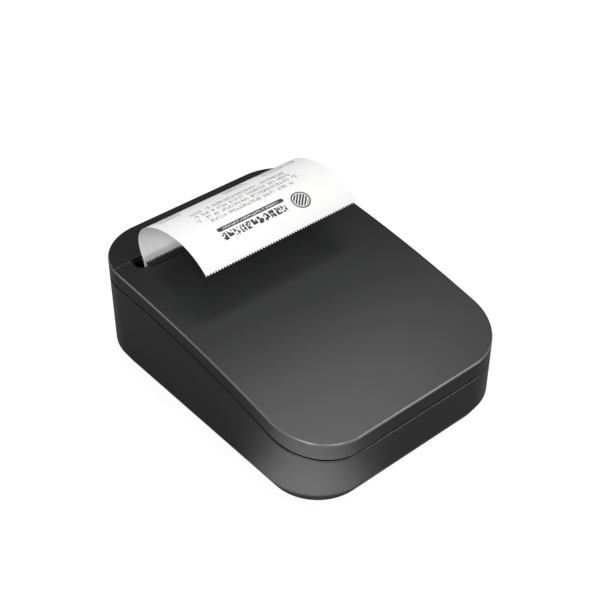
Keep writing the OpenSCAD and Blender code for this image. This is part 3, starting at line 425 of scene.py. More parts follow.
def soften(thing, rule, size=0.3, steps=3):
    """Rounds the edges that a rule gives a share of size to, and keeps to the case's width."""
    bm = bmesh.new()
    bm.from_mesh(thing.data)
    bmesh.ops.remove_doubles(bm, verts=bm.verts, dist=0.004)
    layers = bm.edges.layers.float
    share = layers.get("bevel_weight_edge") or layers.new("bevel_weight_edge")
    for edge in bm.edges:
        if len(edge.link_faces) == 2 and edge.calc_face_angle(0) > 0.5:
            edge[share] = rule((edge.verts[0].co + edge.verts[1].co) / 2)
    bm.to_mesh(thing.data)
    bm.free()
    step = thing.modifiers.new("soften", "BEVEL")
    step.limit_method = "WEIGHT"
    step.width = size
    step.segments = steps
    step.use_clamp_overlap = False
    bake(thing)
    for vert in thing.data.vertices:
        vert.co.x = max(-half_w, min(half_w, vert.co.x))


def finished(thing, name, paint, body, slot, *replaced, turn=30):
    """Scales a piece to metres, shades it, paints it and fixes it to its body, if it has one."""
    thing.name = name
    thing.data.name = name
    thing.data.transform(((mm, 0, 0, 0), (0, mm, 0, 0), (0, 0, mm, 0), (0, 0, 0, 1)))
    thing.data.shade_smooth()
    thing.data.set_sharp_from_angle(angle=math.radians(turn))
    even = thing.modifiers.new("even", "WEIGHTED_NORMAL")
    even.keep_sharp = True
    bake(thing)
    thing.data.materials.clear()
    thing.data.materials.append(paint)
    if body:
        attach(thing, body)
    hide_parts(*replaced)
    return thing


hinge_end_x = corner_x + math.sqrt(corner_r**2 - (corner_r - hinge_y + near_y) ** 2)


def rim_z(drop):
    """Height of the case's rim, cut to the path of the cover's skirt at the hinge end."""
    def height(x, y):
        z = part_z(y) - rim_gap / 2
        if abs(x) < hinge_end_x:
            inward = max(abs(x) - corner_x, 0)
            edge = near_y + corner_r - math.sqrt(corner_r**2 - inward**2)
            reach = math.hypot(edge - hinge_y, part_z(edge) + rim_gap / 2 - hinge_z) + swing_gap
            if abs(y - hinge_y) < reach:
                z = min(z, hinge_z - math.sqrt(reach**2 - (y - hinge_y) ** 2))
        return z - drop
    return height


case = loft("case_shell", [
    (edge_in + 0.6, foot_h), (edge_in + 0.22, foot_h + 0.04), (edge_in - 0.02, foot_h + 0.2),
    (edge_in - 0.2, foot_h + 0.5), (0.24, 6.2), (0.12, 6.46), (0.04, 6.74), (0, 7.1),
    (0, rim_z(0.4)), (0.03, rim_z(0.25)), (0.12, rim_z(0.1)), (0.25, rim_z(0.02)), (0.4, rim_z(0)),
    (0.7, rim_z(0.5)), (wall - 0.2, rim_z(1.5)), (wall, rim_z(1.7)), (wall, floor_z + edge_up),
    (wall + edge_in, floor_z)])

# Seats in the outside for the screws' heads, feet, clip inserts, battery door and plug
foot_x, foot_far, foot_r = 41.0, 58.0, 4.0
base_screws = [(-36.6, 65.7), (36.6, 65.7), (-45.5, -51.0), (45.5, -51.0)]
head_r, head_sink = 2.1, 1.8
clip_x, clip_y, clip_r, clip_boss_r = 20, 18, 2.15, 4
pack_x, pack_y, lid_w, lid_d, lid_t = -7.0, -41.5, 55.8, 40.8, 1.2
usb_y, usb_z, plug_seat = -38.0, 9.68, 0.9
seats = [post(x, y, head_r, 0, foot_h + head_sink) for x, y in base_screws]
seats += [post(sx * foot_x, sy * foot_far, foot_r + 0.05, 0, 2 * foot_h)
          for sx in (-1, 1) for sy in (-1, 1)]
seats += [post(sx * clip_x, clip_y, clip_r, 0, 4) for sx in (-1, 1)]
seats += [prism("seat", rounded(pack_x, pack_y, lid_w / 2, lid_d / 2, 2.2), "z", 0, foot_h + lid_t)]
seats += [prism("seat", rounded(usb_y, usb_z, 6.5, 3.4, 1.5), "x", half_w - plug_seat, half_w + 2)]
carve(case, join(*seats))

# Openings right through for the battery, socket, buttons and lamps
panel_z, power_x, feed_x, lamp_xs = 27.0, -16.0, 16.0, (-5, 0, 5)
open_y, open_z = 42.0, 29.5582
side_wall, far_wall = ("x", half_w - 3, half_w + 2), ("y", far_y - 3, far_y + 1)
openings = [(rounded(pack_x, pack_y, 24, 16.5, 1), "z", 0.2, 4),
            (rounded(usb_y, usb_z, 4.77, 1.88, 1.2), *side_wall),
            (ring_of(power_x, panel_z, 4.2, 48), *far_wall),
            (rounded(feed_x, panel_z, 6.7, 3.7, 3.69, 12), *far_wall)]
openings += [(ring_of(x, panel_z, 1.15, 24), *far_wall) for x in lamp_xs]
openings += [(rounded(open_y, open_z, 5.75, 4.25, 2.25), *side_wall)]
carve(case, join(*(prism("opening", *opening) for opening in openings)))


def case_edges(at):
    """Soft rims on the openings that are cut through the tub's outside."""
    if at.z < foot_h + 0.01 and abs(at.x) < 50 and abs(at.y) < 67:
        return 0.7
    if at.y > far_y - 0.01 and abs(at.z - panel_z) < 6:
        return 1
    if at.x > half_w - 0.01 and at.z < 34 and min(abs(at.y - open_y), abs(at.y - usb_y)) < 7:
        return 1
    return 0


soften(case, case_edges, 0.3, 2)

# Posts that stand on the floor inside, for the screws, steel frame, board and clip inserts
post_r, post_foot = 3, foot_h + 1
far_post, near_post = 35.4, 22.6
frame_x, frame_y, frame_z = 19.75, 42.41, 4
board_x, board_y, board_post_r, board_post_top = 36.5, -30.5, 2.2, 6.5
inside = [post(x, y, post_r, post_foot, far_post if y > 0 else near_post) for x, y in base_screws]
inside += [post(sx * frame_x, frame_y, post_r, post_foot, frame_z) for sx in (-1, 1)]
inside += [post(board_x + sx * 10.5, board_y + sy * 12.5, board_post_r, post_foot, board_post_top)
           for sx in (-1, 1) for sy in (-1, 1)]
for sx in (-1, 1):
    boss = post(sx * clip_x, clip_y, clip_boss_r, post_foot, 3.5)
    inside.append(carve(boss, post(sx * clip_x, clip_y, clip_r, 0, 5)))
shells = [finished(join(case, *inside), "case_shell", case_plastic, "case", "case_plastic",
                   "bottom_case")]

# ---------- End cap ----------
# A fixed cap over the paper end, moulded like the case and screwed down to it.
# It leans over the cover along a 45 degree seam and carries the paper's lip.
far_h, top_r = 49.6, 604.5621
seam_y, seam_z = 51.8, 49.26244
seam_line, cap_shift = seam_y - seam_z, 0.02
rim_r, bulkhead_t = 0.85, 2.6
lip_x, lip_y, lip_far, lip_low, lip_high = 44.75, 51.99, 53.3, 45.07, 48.47
paper_room_x, above = 45.4, 60
hook_x, hook_far, hook_roof = 47.65, 62.5, 46.26
wheel_out, wheel_in, wheel_far, wheel_roof = -51.0, -1.9, 57.41, 45.26
gear_sweep_r, gear_out, gear_in = 120.9, -49.2, -47.0


def top_z(y):
    """Height of the top, which falls in one arc from the paper end to the hinge end."""
    return far_h - top_r + math.sqrt(top_r**2 - (far_y - y) ** 2)


def rim_highlight_mask(paint):
    """One on the rounded rim round the top, where a highlight is painted into the colour; nought on the top
    and the skirt.
    """
    at = paint.node("VectorMath", {"operation": "SCALE"}, {0: paint.place(), "Scale": 1 / mm})
    y, z = paint.axis(at, 1), paint.axis(at, 2)
    fall = paint.node("Math", {"operation": "SQRT"}, [top_r**2 - (far_y - y) * (far_y - y)])
    drop = far_h - top_r + fall - z
    at_seam = ((y > seam_y - 1) * (y < seam_y + 2)
               * (abs(paint.axis(at, 0)) < half_w - rim_r - 0.1))
    on_rim = paint.ramp(drop, 0.03, 0.10) * paint.ramp(drop, rim_r, rim_r - 0.15)
    return on_rim * (1 - at_seam)


# The shells' rim carries a painted highlight in its colour.
shell_plastic = moulded("shell_plastic", charcoal, satin, shine=dull_shine, rim=rim_highlight_mask)


def inner_top(drop):
    return lambda x, y: far_h - top_r + math.sqrt((top_r - wall) ** 2 - (far_y - y) ** 2) - drop


def above_part(lift):
    return lambda x, y: part_z(y) + rim_gap / 2 + lift


def below_top(drop):
    return lambda x, y: top_z(y) - drop


# Points round the far corners, clear of the seam, which meets the outline 9 degrees round
upper_turns = [0, 3.6, 7.2, 10.8] + [14.5 + 75.5 * i / 26 for i in range(27)]


def upper_shell(name, hollow=True):
    """The body above the part line, with a rounded rim, before its slot and seam are cut."""
    rings = [(3, above_part(0))]
    if hollow:
        rings = [(wall + 0.4, inner_top(0)), (wall, inner_top(0.4)), (wall, above_part(0.2)),
                 (wall - 0.2, above_part(0))]
    rings += [(0.4, above_part(0)), (0.25, above_part(0.02)), (0.12, above_part(0.1)),
              (0.03, above_part(0.25)), (0, above_part(0.4))]
    for inset, rise in arc(rim_r, 0, -rim_r, range(0, 91, 15)):
        rings.append((inset, below_top(rim_r + rise)))
    return loft(name, rings, upper_turns)


def beyond_seam(name, shift, depth=60):
    """Everything past the leaning seam, or a slice of it."""
    foot, head = seam_line + shift, seam_line + shift + 70
    return prism(name, [(foot, 0), (head, 70), (head + depth, 70), (foot + depth, 0)], "x", -70, 70)


def block(x0, x1, y0, y1, z0, z1):
    return prism("block", [(x0, y0), (x1, y0), (x1, y1), (x0, y1)], "z", z0, z1)


cap = carve(upper_shell("cap_shell"), beyond_seam("seam", cap_shift), "INTERSECT")
bulkhead = carve(upper_shell("bulkhead", False), beyond_seam("slice", cap_shift, bulkhead_t),
                 "INTERSECT")
carve(cap, bulkhead, "UNION")
carve(cap, block(-lip_x, lip_x, lip_y, lip_far + 1.6, lip_low, lip_high), "UNION")

# Room for the paper, the latch hooks, the wheels and the gear that rises with the cover
carve(cap, block(-lip_x, lip_x, 0, seam_y + cap_shift, 0, above))
carve(cap, block(-paper_room_x, paper_room_x, 0, lip_far, 0, above))
carve(cap, block(-hook_x, hook_x, 0, hook_far, 0, hook_roof))
carve(cap, block(wheel_out, wheel_in, 0, wheel_far, 0, wheel_roof))
carve(cap, prism("gear_room", ring_of(hinge_y, hinge_z, gear_sweep_r, 360), "x", gear_out, gear_in))


def cap_edges(at):
    """The cap's near edge is rounded over, and the edge at its slot a little less."""
    on_seam = abs(at.y - at.z - seam_line - cap_shift) < 0.02
    drop = top_z(at.y) - at.z
    if drop < 0.05 or on_seam and abs(at.x) > 48:
        return max(0.4, 1 - 0.6 * max(drop, 0) / rim_r) if on_seam else 0.6
    return 0


soften(cap, cap_edges, 0.5, 4)
cap_posts = [post(x, y, post_r, far_post + 0.1, far_h - wall / 2) for x, y in base_screws if y > 0]
shells.append(finished(join(cap, *cap_posts), "cap_shell", shell_plastic, "case", "shell_plastic",
                       "front_cap"))

# ---------- Paper cover ----------
# The long lid that is lifted to drop a roll in. It is one moulding with the
# top, a skirt, hinge lugs inside its near end and four posts for the carrier.
part_gap = 0.4
slot_y, slot_x, slot_run = 45.6, 45.75, 14.7
tear_seat_x, tear_seat_y, tear_seat_z = 41.34, 43.96, 47.87
cover = carve(upper_shell("cover_shell"), beyond_seam("seam", -part_gap / 2))
carve(cover, prism("slot", rounded(0, slot_y + slot_run, slot_x, slot_run, 2.6), "z", 35, 60))
carve(cover, block(-tear_seat_x, tear_seat_x, tear_seat_y, 50, tear_seat_z, 60))


def cover_edges(at):
    """The seam's edge is thin and crisp, and the slot's edge is broken slightly."""
    if abs(at.y - at.z - seam_line + part_gap / 2) < 0.02:
        return 0.7
    if at.z > top_z(at.y) - 0.05 and abs(at.x) < slot_x + 0.1:
        return 1
    return 0


soften(cover, cover_edges)
lug_r, lug_half, hinge_bore_r = 2.3, 2.5, 1.3
lug_back, lug_front = hinge_y + 4.4, hinge_y - 3
carrier_x, carrier_drop, carrier_hole_r = 35.75, 5.5, 1.05
lugs = []
for x in (-36.8, -23.2, 23.2, 36.8):
    lug = [(lug_back, top_z(lug_back) - 1), (lug_front, top_z(lug_front) - 1)]
    lug += [(hinge_y - lug_r, hinge_z)] + arc(hinge_y, hinge_z, lug_r, range(180, 361, 15))
    lug = prism("lug", lug, "x", x - lug_half, x + lug_half)
    bore = prism("bore", ring_of(hinge_y, hinge_z, hinge_bore_r), "x", x - 3, x + 3)
    lugs.append(carve(lug, bore))
for y in (24.41, 34.41):
    for x in (-carrier_x, carrier_x):
        low = top_z(y) - carrier_drop
        stem = post(x, y, 2.6, low, top_z(y) - 1)
        lugs.append(carve(stem, post(x, y, carrier_hole_r, low - 1, low + 3)))
shells.append(finished(join(cover, *lugs), "cover_shell", shell_plastic, "cover", "shell_plastic",
                       "paper_cover"))

# ---------- Rubber feet ----------
# Four soft discs pressed into seats under the corners. Their lower edge is
# rounded, and the rubber is duller than the case.
foot_rubber = moulded("foot_rubber", (0.012, 0.012, 0.012), 0.8, 0.5, 0.02, 0.3)


def turned(name, profile, place, axis="z", count=40):
    """A closed turned shape from (radius, height) pairs about a line through place."""
    bm = bmesh.new()
    rows = []
    for r, h in profile:
        row = []
        for u, v in ring_of(0, 0, r, count if r > 0 else 1):
            put = {"y": (u, h, v), "z": (u, v, h)}[axis]
            row.append(bm.verts.new([p + q for p, q in zip(put, place)]))
        rows.append(row)
    for low, high in zip(rows, rows[1:]):
        for i in range(count):
            j = (i + 1) % count
            ring = [low[i % len(low)], low[j % len(low)], high[j % len(high)], high[i % len(high)]]
            bm.faces.new(list(dict.fromkeys(ring)))
    return to_object(name, bm)


foot_profile = [(0, 0), (3.5, 0), (3.78, 0.05), (3.95, 0.18), (foot_r, 0.4), (foot_r, 1), (0, 1)]
feet = [turned("foot", foot_profile, (sx * foot_x, sy * foot_far, 0))
        for sx in (-1, 1) for sy in (-1, 1)]
finished(join(*feet), "rubber_feet_soft", foot_rubber, "case", "foot_rubber", "rubber_feet")

# ---------- Buttons and lamps in the far wall ----------
# A round power button, a wide feed button and three lamps. The caps are
# moulded in a slightly lighter plastic, dished, and printed with plain signs.
key_paint = Paint("key_plastic", Specular_IOR_Level=0.5)
key_grain = key_paint.noise(0.3, 3)
key_x, key_y, key_z = (key_paint.axis(key_paint.place(), number) / mm for number in range(3))
from_power, from_feed, key_up = abs(key_x - power_x), abs(key_x - feed_x), key_z - panel_z
power_far = key_paint.node("Math", {"operation": "SQRT"},
                           [from_power * from_power + key_up * key_up])
power_ring = (abs(power_far - 1.7) < 0.2) * (1 - (from_power < 0.55) * (key_up > 0.5))
power_bar = (from_power < 0.2) * (key_up > 0.4) * (key_up < 2.2)
feed_arrow = (from_feed < (key_up + 1.3) * 0.75) * (key_up < 1.0)
feed_line = (from_feed < 2.3) * (abs(key_up - 1.75) < 0.2)
sign = (power_ring + power_bar + feed_arrow + feed_line > 0.5) * (key_y > far_y - 0.5)
key_grey = key_paint.mix(key_grain, (0.026, 0.026, 0.028), (0.034, 0.034, 0.036))
key_paint.feed(Base_Color=key_paint.mix(sign, key_grey, (0.62, 0.62, 0.60)),
               Roughness=0.42 + key_grain * 0.08, Normal=key_paint.bump(key_grain, 0.01))

stem_r, stem_end = 1.4, 68.4
power_profile = [(0, stem_end), (stem_r, stem_end), (stem_r, 69.0), (5.2, 69.0), (5.2, 69.8),
                 (4, 69.8), (4, 71.5), (3.95, 71.75), (3.8, 71.9), (3.55, 71.94), (2.6, 71.82),
                 (1.3, 71.7), (0, 71.66)]
power = turned("power_cap", power_profile, (power_x, 0, panel_z), "y", 56)
finished(power, "power_cap", key_paint.material, "power_button", "key_plastic", "power_button")

feed_half_w, feed_half_h = 6.5, 3.5
feed_profile = [(1.2, 68.8), (1.2, 69.8), (0, 69.8), (0, 71.45), (-0.06, 71.72), (-0.25, 71.88),
                (-0.55, 71.94), (-1.5, 71.84), (-2.6, 71.78)]
feed_bm = bmesh.new()
feed_rows = []
for grow, y in feed_profile:
    round_end = rounded(feed_x, panel_z, feed_half_w + grow, feed_half_h + grow,
                        feed_half_h + grow - 0.001, 14)
    feed_rows.append([feed_bm.verts.new((x, y, z)) for x, z in round_end])
skin(feed_bm, feed_rows)
feed_bm.faces.new(feed_rows[0])
feed_bm.faces.new(feed_rows[-1])
feed_stem = turned("stem", [(0, stem_end), (stem_r, stem_end), (stem_r, 69), (0, 69)],
                   (feed_x, 0, panel_z), "y")
finished(join(to_object("feed_cap", feed_bm), feed_stem), "feed_cap", key_paint.material,
         "feed_button", "key_plastic", "feed_button")

lens_paint = Paint("lamp_lens", Roughness=0.18, IOR=1.49, Specular_IOR_Level=0.5, Coat_Weight=0.3)
lens_cloud = lens_paint.noise(0.6, 2)
lens_paint.feed(Base_Color=lens_paint.mix(lens_cloud, (0.42, 0.52, 0.45), (0.62, 0.70, 0.64)),
                Normal=lens_paint.bump(lens_cloud, 0.01))
lens_profile = [(0, 68.1), (0.8, 68.1), (0.8, 69.4), (1.1, 69.4), (1.1, 71.5), (1.0, 71.75),
                (0.75, 71.88), (0.4, 71.94), (0, 71.95)]
lenses = [turned("lens", lens_profile, (x, 0, panel_z), "y", 28) for x in lamp_xs]
finished(join(*lenses), "lamp_domes", lens_paint.material, "case", "lamp_lens", "led_lenses")

# ---------- Open button ----------
# The push button in the side wall, moulded like the case. Its face has grip
# ribs, a flange stops it in the wall, and a wedge on its back turns the latch.
flange_in, flange_out, press_face, rib_face = 51.8, 52.8, 54.85, 54.94
under_latch, wedge_slope, wedge_rise = 31.1582, 0.92, 2.8
wedge_tip, wedge_toe, wedge_heel = 46.9, 47.8, flange_in + 0.01
press = prism("press", rounded(open_y, open_z, 5.5, 4, 2), "x", flange_in, press_face)
soften(press, lambda at: 1 if at.x > press_face - 0.05 else 0, 0.45)
ribs = [prism("rib", rounded(open_y, open_z + z, 3.6, 0.28, 0.27, 4), "x", 54.5, rib_face)
        for z in (-1.8, -0.6, 0.6, 1.8)]
wedge = prism("wedge", [(wedge_toe, under_latch + wedge_slope * (wedge_toe - wedge_tip)),
                        (wedge_toe, under_latch - 1.6), (wedge_heel, under_latch - 1.6),
                        (wedge_heel, under_latch + wedge_slope * wedge_rise),
                        (wedge_tip + wedge_rise, under_latch + wedge_slope * wedge_rise)],
              "y", 42.3, 43.9)
flange = block(flange_in, flange_out, open_y - 6.5, open_y + 6.5, open_z - 5, open_z + 5)
finished(join(press, wedge, flange, *ribs), "open_press_cap", case_plastic, "open_button",
         "case_plastic", "open_button")

# ---------- Battery and its door ----------
# A wrapped lithium pack lies in the tub. A thin moulded door with grip grooves
# closes its opening from below.
door = prism("door", rounded(pack_x, pack_y, 27.7, 20.2, 2), "z", foot_h, foot_h + lid_t)
grip_y, grip_pitch, grip_deep = pack_y - 14.4, 1.6, 0.5
for i in range(-2, 3):
    groove = rounded(pack_x, grip_y + i * grip_pitch, 8, 0.4, 0.39, 4)
    carve(door, prism("groove", groove, "z", 0, foot_h + grip_deep))
soften(door, lambda at: 1 if at.z < foot_h + 0.01 else 0, 0.2, 2)
finished(door, "battery_door", case_plastic, "case", "case_plastic", "battery_lid")


def dress(paint, *names):
    """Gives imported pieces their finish."""
    for name in names:
        nodes[name].data.materials.clear()
        nodes[name].data.materials.append(paint)


wrap = Paint("battery_wrap", Roughness=0.3, Coat_Weight=0.25)
crease = wrap.noise(6, 4, 0.55)
wrap.feed(Base_Color=wrap.mix(crease, (0.012, 0.022, 0.05), (0.022, 0.038, 0.08)),
          Normal=wrap.bump(crease, 0.25))
dress(wrap.material, "battery_pack")

# ---------- Boards and socket ----------
# Green glass-epoxy boards with copper tracks under the mask, black moulded chips
# and switches, and a charging socket folded from plated steel.
board = Paint("board_green", Roughness=0.35, Coat_Weight=0.4)
on_board = board.place()
weave = board.noise(0.5, 2)
cells = board.node("TexVoronoi", {"feature": "F1", "distance": "CHEBYCHEV"},
                   {"Vector": on_board, "Scale": 1 / (2.4 * mm), "Randomness": 0.85})
track = (cells % 0.16) < 0.05
dots = board.node("TexVoronoi", {"feature": "F1"}, {"Vector": on_board, "Scale": 1 / (3.1 * mm)})
pads = dots < 0.13
green = board.mix(weave, (0.012, 0.075, 0.035), (0.018, 0.095, 0.045))
tracked = board.mix(track, green, (0.05, 0.17, 0.075))
board.feed(Base_Color=board.mix(pads, tracked, (0.62, 0.5, 0.28)), Metallic=pads * 0.9,
           Normal=board.bump(track + pads, 0.03))
dress(board.material, "main_board", "panel_board")

chip = moulded("chip_black", (0.012, 0.012, 0.013), 0.55, 0.2, 0.01)
dress(chip, "board_chips", "panel_switches", "paper_sensor", "cover_switch")


def metal(name, colour, rough, stretch=(1, 1, 1), grain=0.6, depth=0.004):
    """Metal with fine marks, drawn out along the directions that stretch makes longer."""
    paint = Paint(name, Metallic=1.0)
    scratches = paint.noise(grain, 4, 0.6, paint.drawn_out(stretch))
    tarnish = paint.noise(9, 3)
    darker = tuple(c * 0.8 for c in colour)
    paint.feed(Base_Color=paint.mix(scratches * 0.6 + tarnish * 0.4, darker, colour),
               Roughness=rough - 0.06 + scratches * 0.12 + tarnish * 0.08,
               Normal=paint.bump(scratches, depth))
    return paint.material


dress(metal("socket_shell", (0.72, 0.73, 0.75), 0.28, (8, 1, 1)), "usb_socket")
dress(metal("brass", (0.80, 0.58, 0.26), 0.3), "clip_inserts", "motor_pinion")

# ---------- Paper tray and carrier ----------
# The trough that the roll drops into, with cheeks, a deck and the hinge arms,
# and the carrier that is screwed under the cover. Both are moulded and satin.
# The platen's bushings are a smoother, waxy plastic.
inner_plastic = moulded("inner_plastic", (0.020, 0.020, 0.022), 0.5, 0.6, 0.008)
dress(inner_plastic, "paper_tray", "cover_frame")
dress(moulded("bushing_plastic", (0.016, 0.016, 0.018), 0.38, 0.8, 0.004), "platen_bushings")

# ---------- Steel frame, motor and gears ----------
# Zinc plated sheet folded round the mechanism, a drawn steel motor can, acetal
# gears on a ground pin, wound springs and plated screws.
plated_steel = metal("plated_steel", (0.60, 0.61, 0.62), 0.34, (1, 1, 14), 0.9)
dress(plated_steel, "mechanism_frame", "latch_hooks")
dress(metal("motor_can", (0.50, 0.51, 0.52), 0.38, (1, 6, 6), 0.8), "stepper_motor")
polished_steel = metal("polished_steel", (0.76, 0.77, 0.78), 0.16, (0.5, 4, 4), 0.5, 0.002)
dress(polished_steel, "gear_axle", "latch_shaft", "platen_shaft", "hinge_shaft")
gear_paint = Paint("gear_plastic", Roughness=0.4, Subsurface_Weight=0.1)
flow = gear_paint.noise(2.5, 3)
gear_paint.feed(Base_Color=gear_paint.mix(flow, (0.66, 0.64, 0.57), (0.76, 0.74, 0.68)),
                Normal=gear_paint.bump(flow, 0.01))
dress(gear_paint.material, "reduction_gear", "platen_gear")
spring_steel = metal("spring_steel", (0.66, 0.67, 0.70), 0.22, grain=0.3)
dress(spring_steel, "head_springs", "latch_spring")
screw_steel = metal("screw_steel", (0.42, 0.43, 0.45), 0.32, grain=0.5)
dress(screw_steel, "case_screws", "cover_screws")

# ---------- Print head ----------
# A glazed ceramic strip with its line of heaters and a bead of black resin,
# bonded to a black anodised plate, and a flat film cable with copper tracks.
# The resin bead along the head's top and the plate's black also stand in
# for painted shade deep in the slot.
heater_z, track_top, resin_and_shade_z = 39.56, 39.0, 42.0
head = Paint("head_ceramic", Coat_Weight=0.5)
head_x, head_z = (head.axis(head.place(), number) / mm for number in (0, 2))
glaze = head.noise(1.2, 2)
heaters = abs(head_z - heater_z) < 0.35
head_tracks = (head_x % 0.5 < 0.22) * (head_z < track_top)
ceramic = head.mix(glaze, (0.70, 0.68, 0.60), (0.80, 0.78, 0.70))
printed = head.mix(heaters, head.mix(head_tracks, ceramic, (0.55, 0.42, 0.2)), (0.10, 0.06, 0.05))
# The head's top edge is black: a resin bead, and painted shade for the deep slot.
head.feed(Base_Color=head.mix(head_z > resin_and_shade_z, printed, (0.015, 0.015, 0.016)),
          Roughness=0.22 + glaze * 0.1, Normal=head.bump(glaze, 0.01))
dress(head.material, "print_head")
# The plate's near-black colour is partly its finish and partly painted shade for the deep slot.
dress(metal("head_anodised_and_shaded", (0.020, 0.020, 0.022), 0.42, (12, 1, 1), 0.7), "head_plate")
film = Paint("cable_film", Coat_Weight=0.3)
wires = (film.axis(film.place(), 0) / mm) % 0.8 < 0.42
film_wave = film.noise(3, 2)
film.feed(Base_Color=film.mix(wires, (0.72, 0.69, 0.60), (0.50, 0.40, 0.26)),
          Roughness=0.35 + film_wave * 0.1, Normal=film.bump(wires, 0.03))
dress(film.material, "head_cable")

# ---------- Tear bar ----------
# A stamped steel strip with a tooth every 1.4 mm, coated black like the shell,
# and set flush in the edge of the cover.
tear_x, tear_y, tear_in, tooth_deep, tear_pitch = 41.3, 44.0, 47.2, 1.2, 1.4
tear_edge = [(-tear_x, tear_y), (tear_x, tear_y), (tear_x, tear_in)]
for i in range(29, -30, -1):
    tear_edge += [((i + 0.42) * tear_pitch, tear_in), (i * tear_pitch, tear_in + tooth_deep),
                  ((i - 0.42) * tear_pitch, tear_in)]
tear_edge.append((-tear_x, tear_in))
tear_top, tear_t = top_z(slot_y) - 0.03, 0.8
tear = prism("tear_strip", tear_edge, "z", tear_top - tear_t, tear_top)


def tear_edges(at):
    return 1 if at.z > tear_top - 0.1 and at.y > tear_in - 0.05 else 0


soften(tear, tear_edges, 0.06, 1)
tear_black = moulded("tear_bar_black", (0.0055, 0.0056, 0.0060), 0.4, 0.6, 0.006, 0.3)
finished(tear, "tear_strip", tear_black, "cover", "tear_bar_black", "tear_bar")

# ---------- Platen ----------
# A ground rubber sleeve on a polished shaft. It carries a little paper dust in
# patches, and its grinding marks run round it.
platen = Paint("platen_rubber", Specular_IOR_Level=0.35)
ground = platen.noise(0.4, 3, 0.6, platen.drawn_out((1, 5, 5)))
dust = platen.noise(7, 3)
platen.feed(Base_Color=platen.mix(dust, (0.014, 0.014, 0.014), (0.030, 0.030, 0.029)),
            Roughness=0.55 + ground * 0.15, Normal=platen.bump(ground, 0.015))
dress(platen.material, "platen_rubber")

# ---------- Paper roll ----------
# Thermal paper wound on a brown board core. The ends show the turns of the
# winding, and the face has a slight sheen.
paper_w = 79.5
roll_y, roll_z = 8.01, 23.9
roll = Paint("roll_paper", Specular_IOR_Level=0.4)
roll_x, roll_in, roll_up = (roll.axis(roll.place(), number) / mm - middle
                           for number, middle in enumerate((0, roll_y, roll_z)))
turn_at = roll.node("Math", {"operation": "SQRT"}, [roll_in * roll_in + roll_up * roll_up])
wound = roll.node("TexNoise", {"noise_dimensions": "1D"},
                  {"W": turn_at, "Scale": 5.0, "Detail": 3.0})
on_end = abs(roll_x) > paper_w / 2 - 0.15
fibre = roll.noise(0.5, 3)
roll.feed(Base_Color=roll.mix(on_end * wound, (0.86, 0.855, 0.83), (0.60, 0.59, 0.56)),
          Roughness=0.5 + fibre * 0.12, Normal=roll.bump(on_end * wound + fibre * 0.1, 0.12))
dress(roll.material, "paper_roll")
core = Paint("core_board", Roughness=0.85)
core_fibre = core.noise(0.8, 4, 0.65, core.drawn_out((5, 1, 1)))
core.feed(Base_Color=core.mix(core_fibre, (0.28, 0.18, 0.095), (0.42, 0.29, 0.17)),
          Normal=core.bump(core_fibre, 0.05))
dress(core.material, "roll_core")

# ---------- Receipt ----------
# The end of the roll, 79.5 mm wide, printed on its coated face and curling out
# of the slot by its own set. Its free end was torn along the teeth.
paper_t, half_paper = 0.14, paper_w / 2
curl_y, curl_mid, curl_run, curl_up = 27.1, 55.56244, 27.2, 16.0
exit_r, exit_turn, tail_r, tail_turn = 14.5, 28.0, 29.0, 42.0
exit_y = curl_y + curl_run - exit_r
path = arc(exit_y, curl_mid, exit_r, [exit_turn * (i / 8 - 1) for i in range(9)])
path.insert(0, (path[0][0] - 0.1, path[0][1] - 0.34))
path += [(curl_y + curl_run * a, curl_mid + curl_up * b)
         for a, b in arc(0, 0, 1, [90 * i / 30 for i in range(1, 31)])]
path += arc(curl_y, curl_mid + curl_up - tail_r, tail_r,
            [90 + tail_turn * i / 20 for i in range(1, 21)])
run = [0.0]
for one, two in zip(path, path[1:]):
    run.append(run[-1] + math.dist(one, two))
columns, gullet = round(paper_w / (tear_pitch / 2)), 0.85
strip = bmesh.new()
flat = strip.loops.layers.uv.new("flat")
flat_at = {}
faces = []
for face in (1, -1):
    grid = []
    for i, (y, z) in enumerate(path):
        before, after = path[max(i - 1, 0)], path[min(i + 1, len(path) - 1)]
        span = math.dist(before, after)
        out_y, out_z = (after[1] - before[1]) / span, -(after[0] - before[0]) / span
        row = []
        for c in range(columns + 1):
            x = paper_w * c / columns - half_paper
            back = gullet if i == len(path) - 1 and c % 2 else 0
            y_at = y + (path[i - 1][0] - y) * back + face * out_y * paper_t / 2
            z_at = z + (path[i - 1][1] - z) * back + face * out_z * paper_t / 2
            vert = strip.verts.new((x, y_at, z_at))
            length = run[i] - back * (run[i] - run[i - 1])
            flat_at[vert] = (x + half_paper, run[-1] - length, face)
            row.append(vert)
        grid.append(row)
    faces.append(grid)
    for low, high in zip(grid, grid[1:]):
        for c in range(columns):
            strip.faces.new((low[c], low[c + 1], high[c + 1], high[c]))
outer, inner = faces
for end in (0, -1):
    for c in range(columns):
        strip.faces.new((outer[end][c], outer[end][c + 1], inner[end][c + 1], inner[end][c]))
for c in (0, columns):
    for i in range(len(path) - 1):
        strip.faces.new((outer[i][c], outer[i + 1][c], inner[i + 1][c], inner[i][c]))
# The flat layer is in tenths of a metre, with the bare face kept on an unprinted line
for face in strip.faces:
    coated = all(flat_at[vert][2] > 0 for vert in face.verts)
    for loop in face.loops:
        across_at, along_at, _ = flat_at[loop.vert]
        loop[flat].uv = (across_at / 100, along_at / 100 if coated else 0.005)

receipt = Paint("receipt_paper", Specular_IOR_Level=0.4)
sheet_at = receipt.node("TexCoord", out="UV")
across = half_paper - receipt.axis(sheet_at, 0) * 100
along = receipt.axis(sheet_at, 1) * 100


def whole(value):
    return receipt.node("Math", {"operation": "FLOOR"}, [value])


def speck(a, b):
    """A random number for each cell of a grid."""
    cell = receipt.node("CombineXYZ", None, [a, b, 0.0])
    return receipt.node("TexWhiteNoise", {"noise_dimensions": "2D"}, {"Vector": cell})


def band(value, low, high):
    return (value > low) * (value < high)


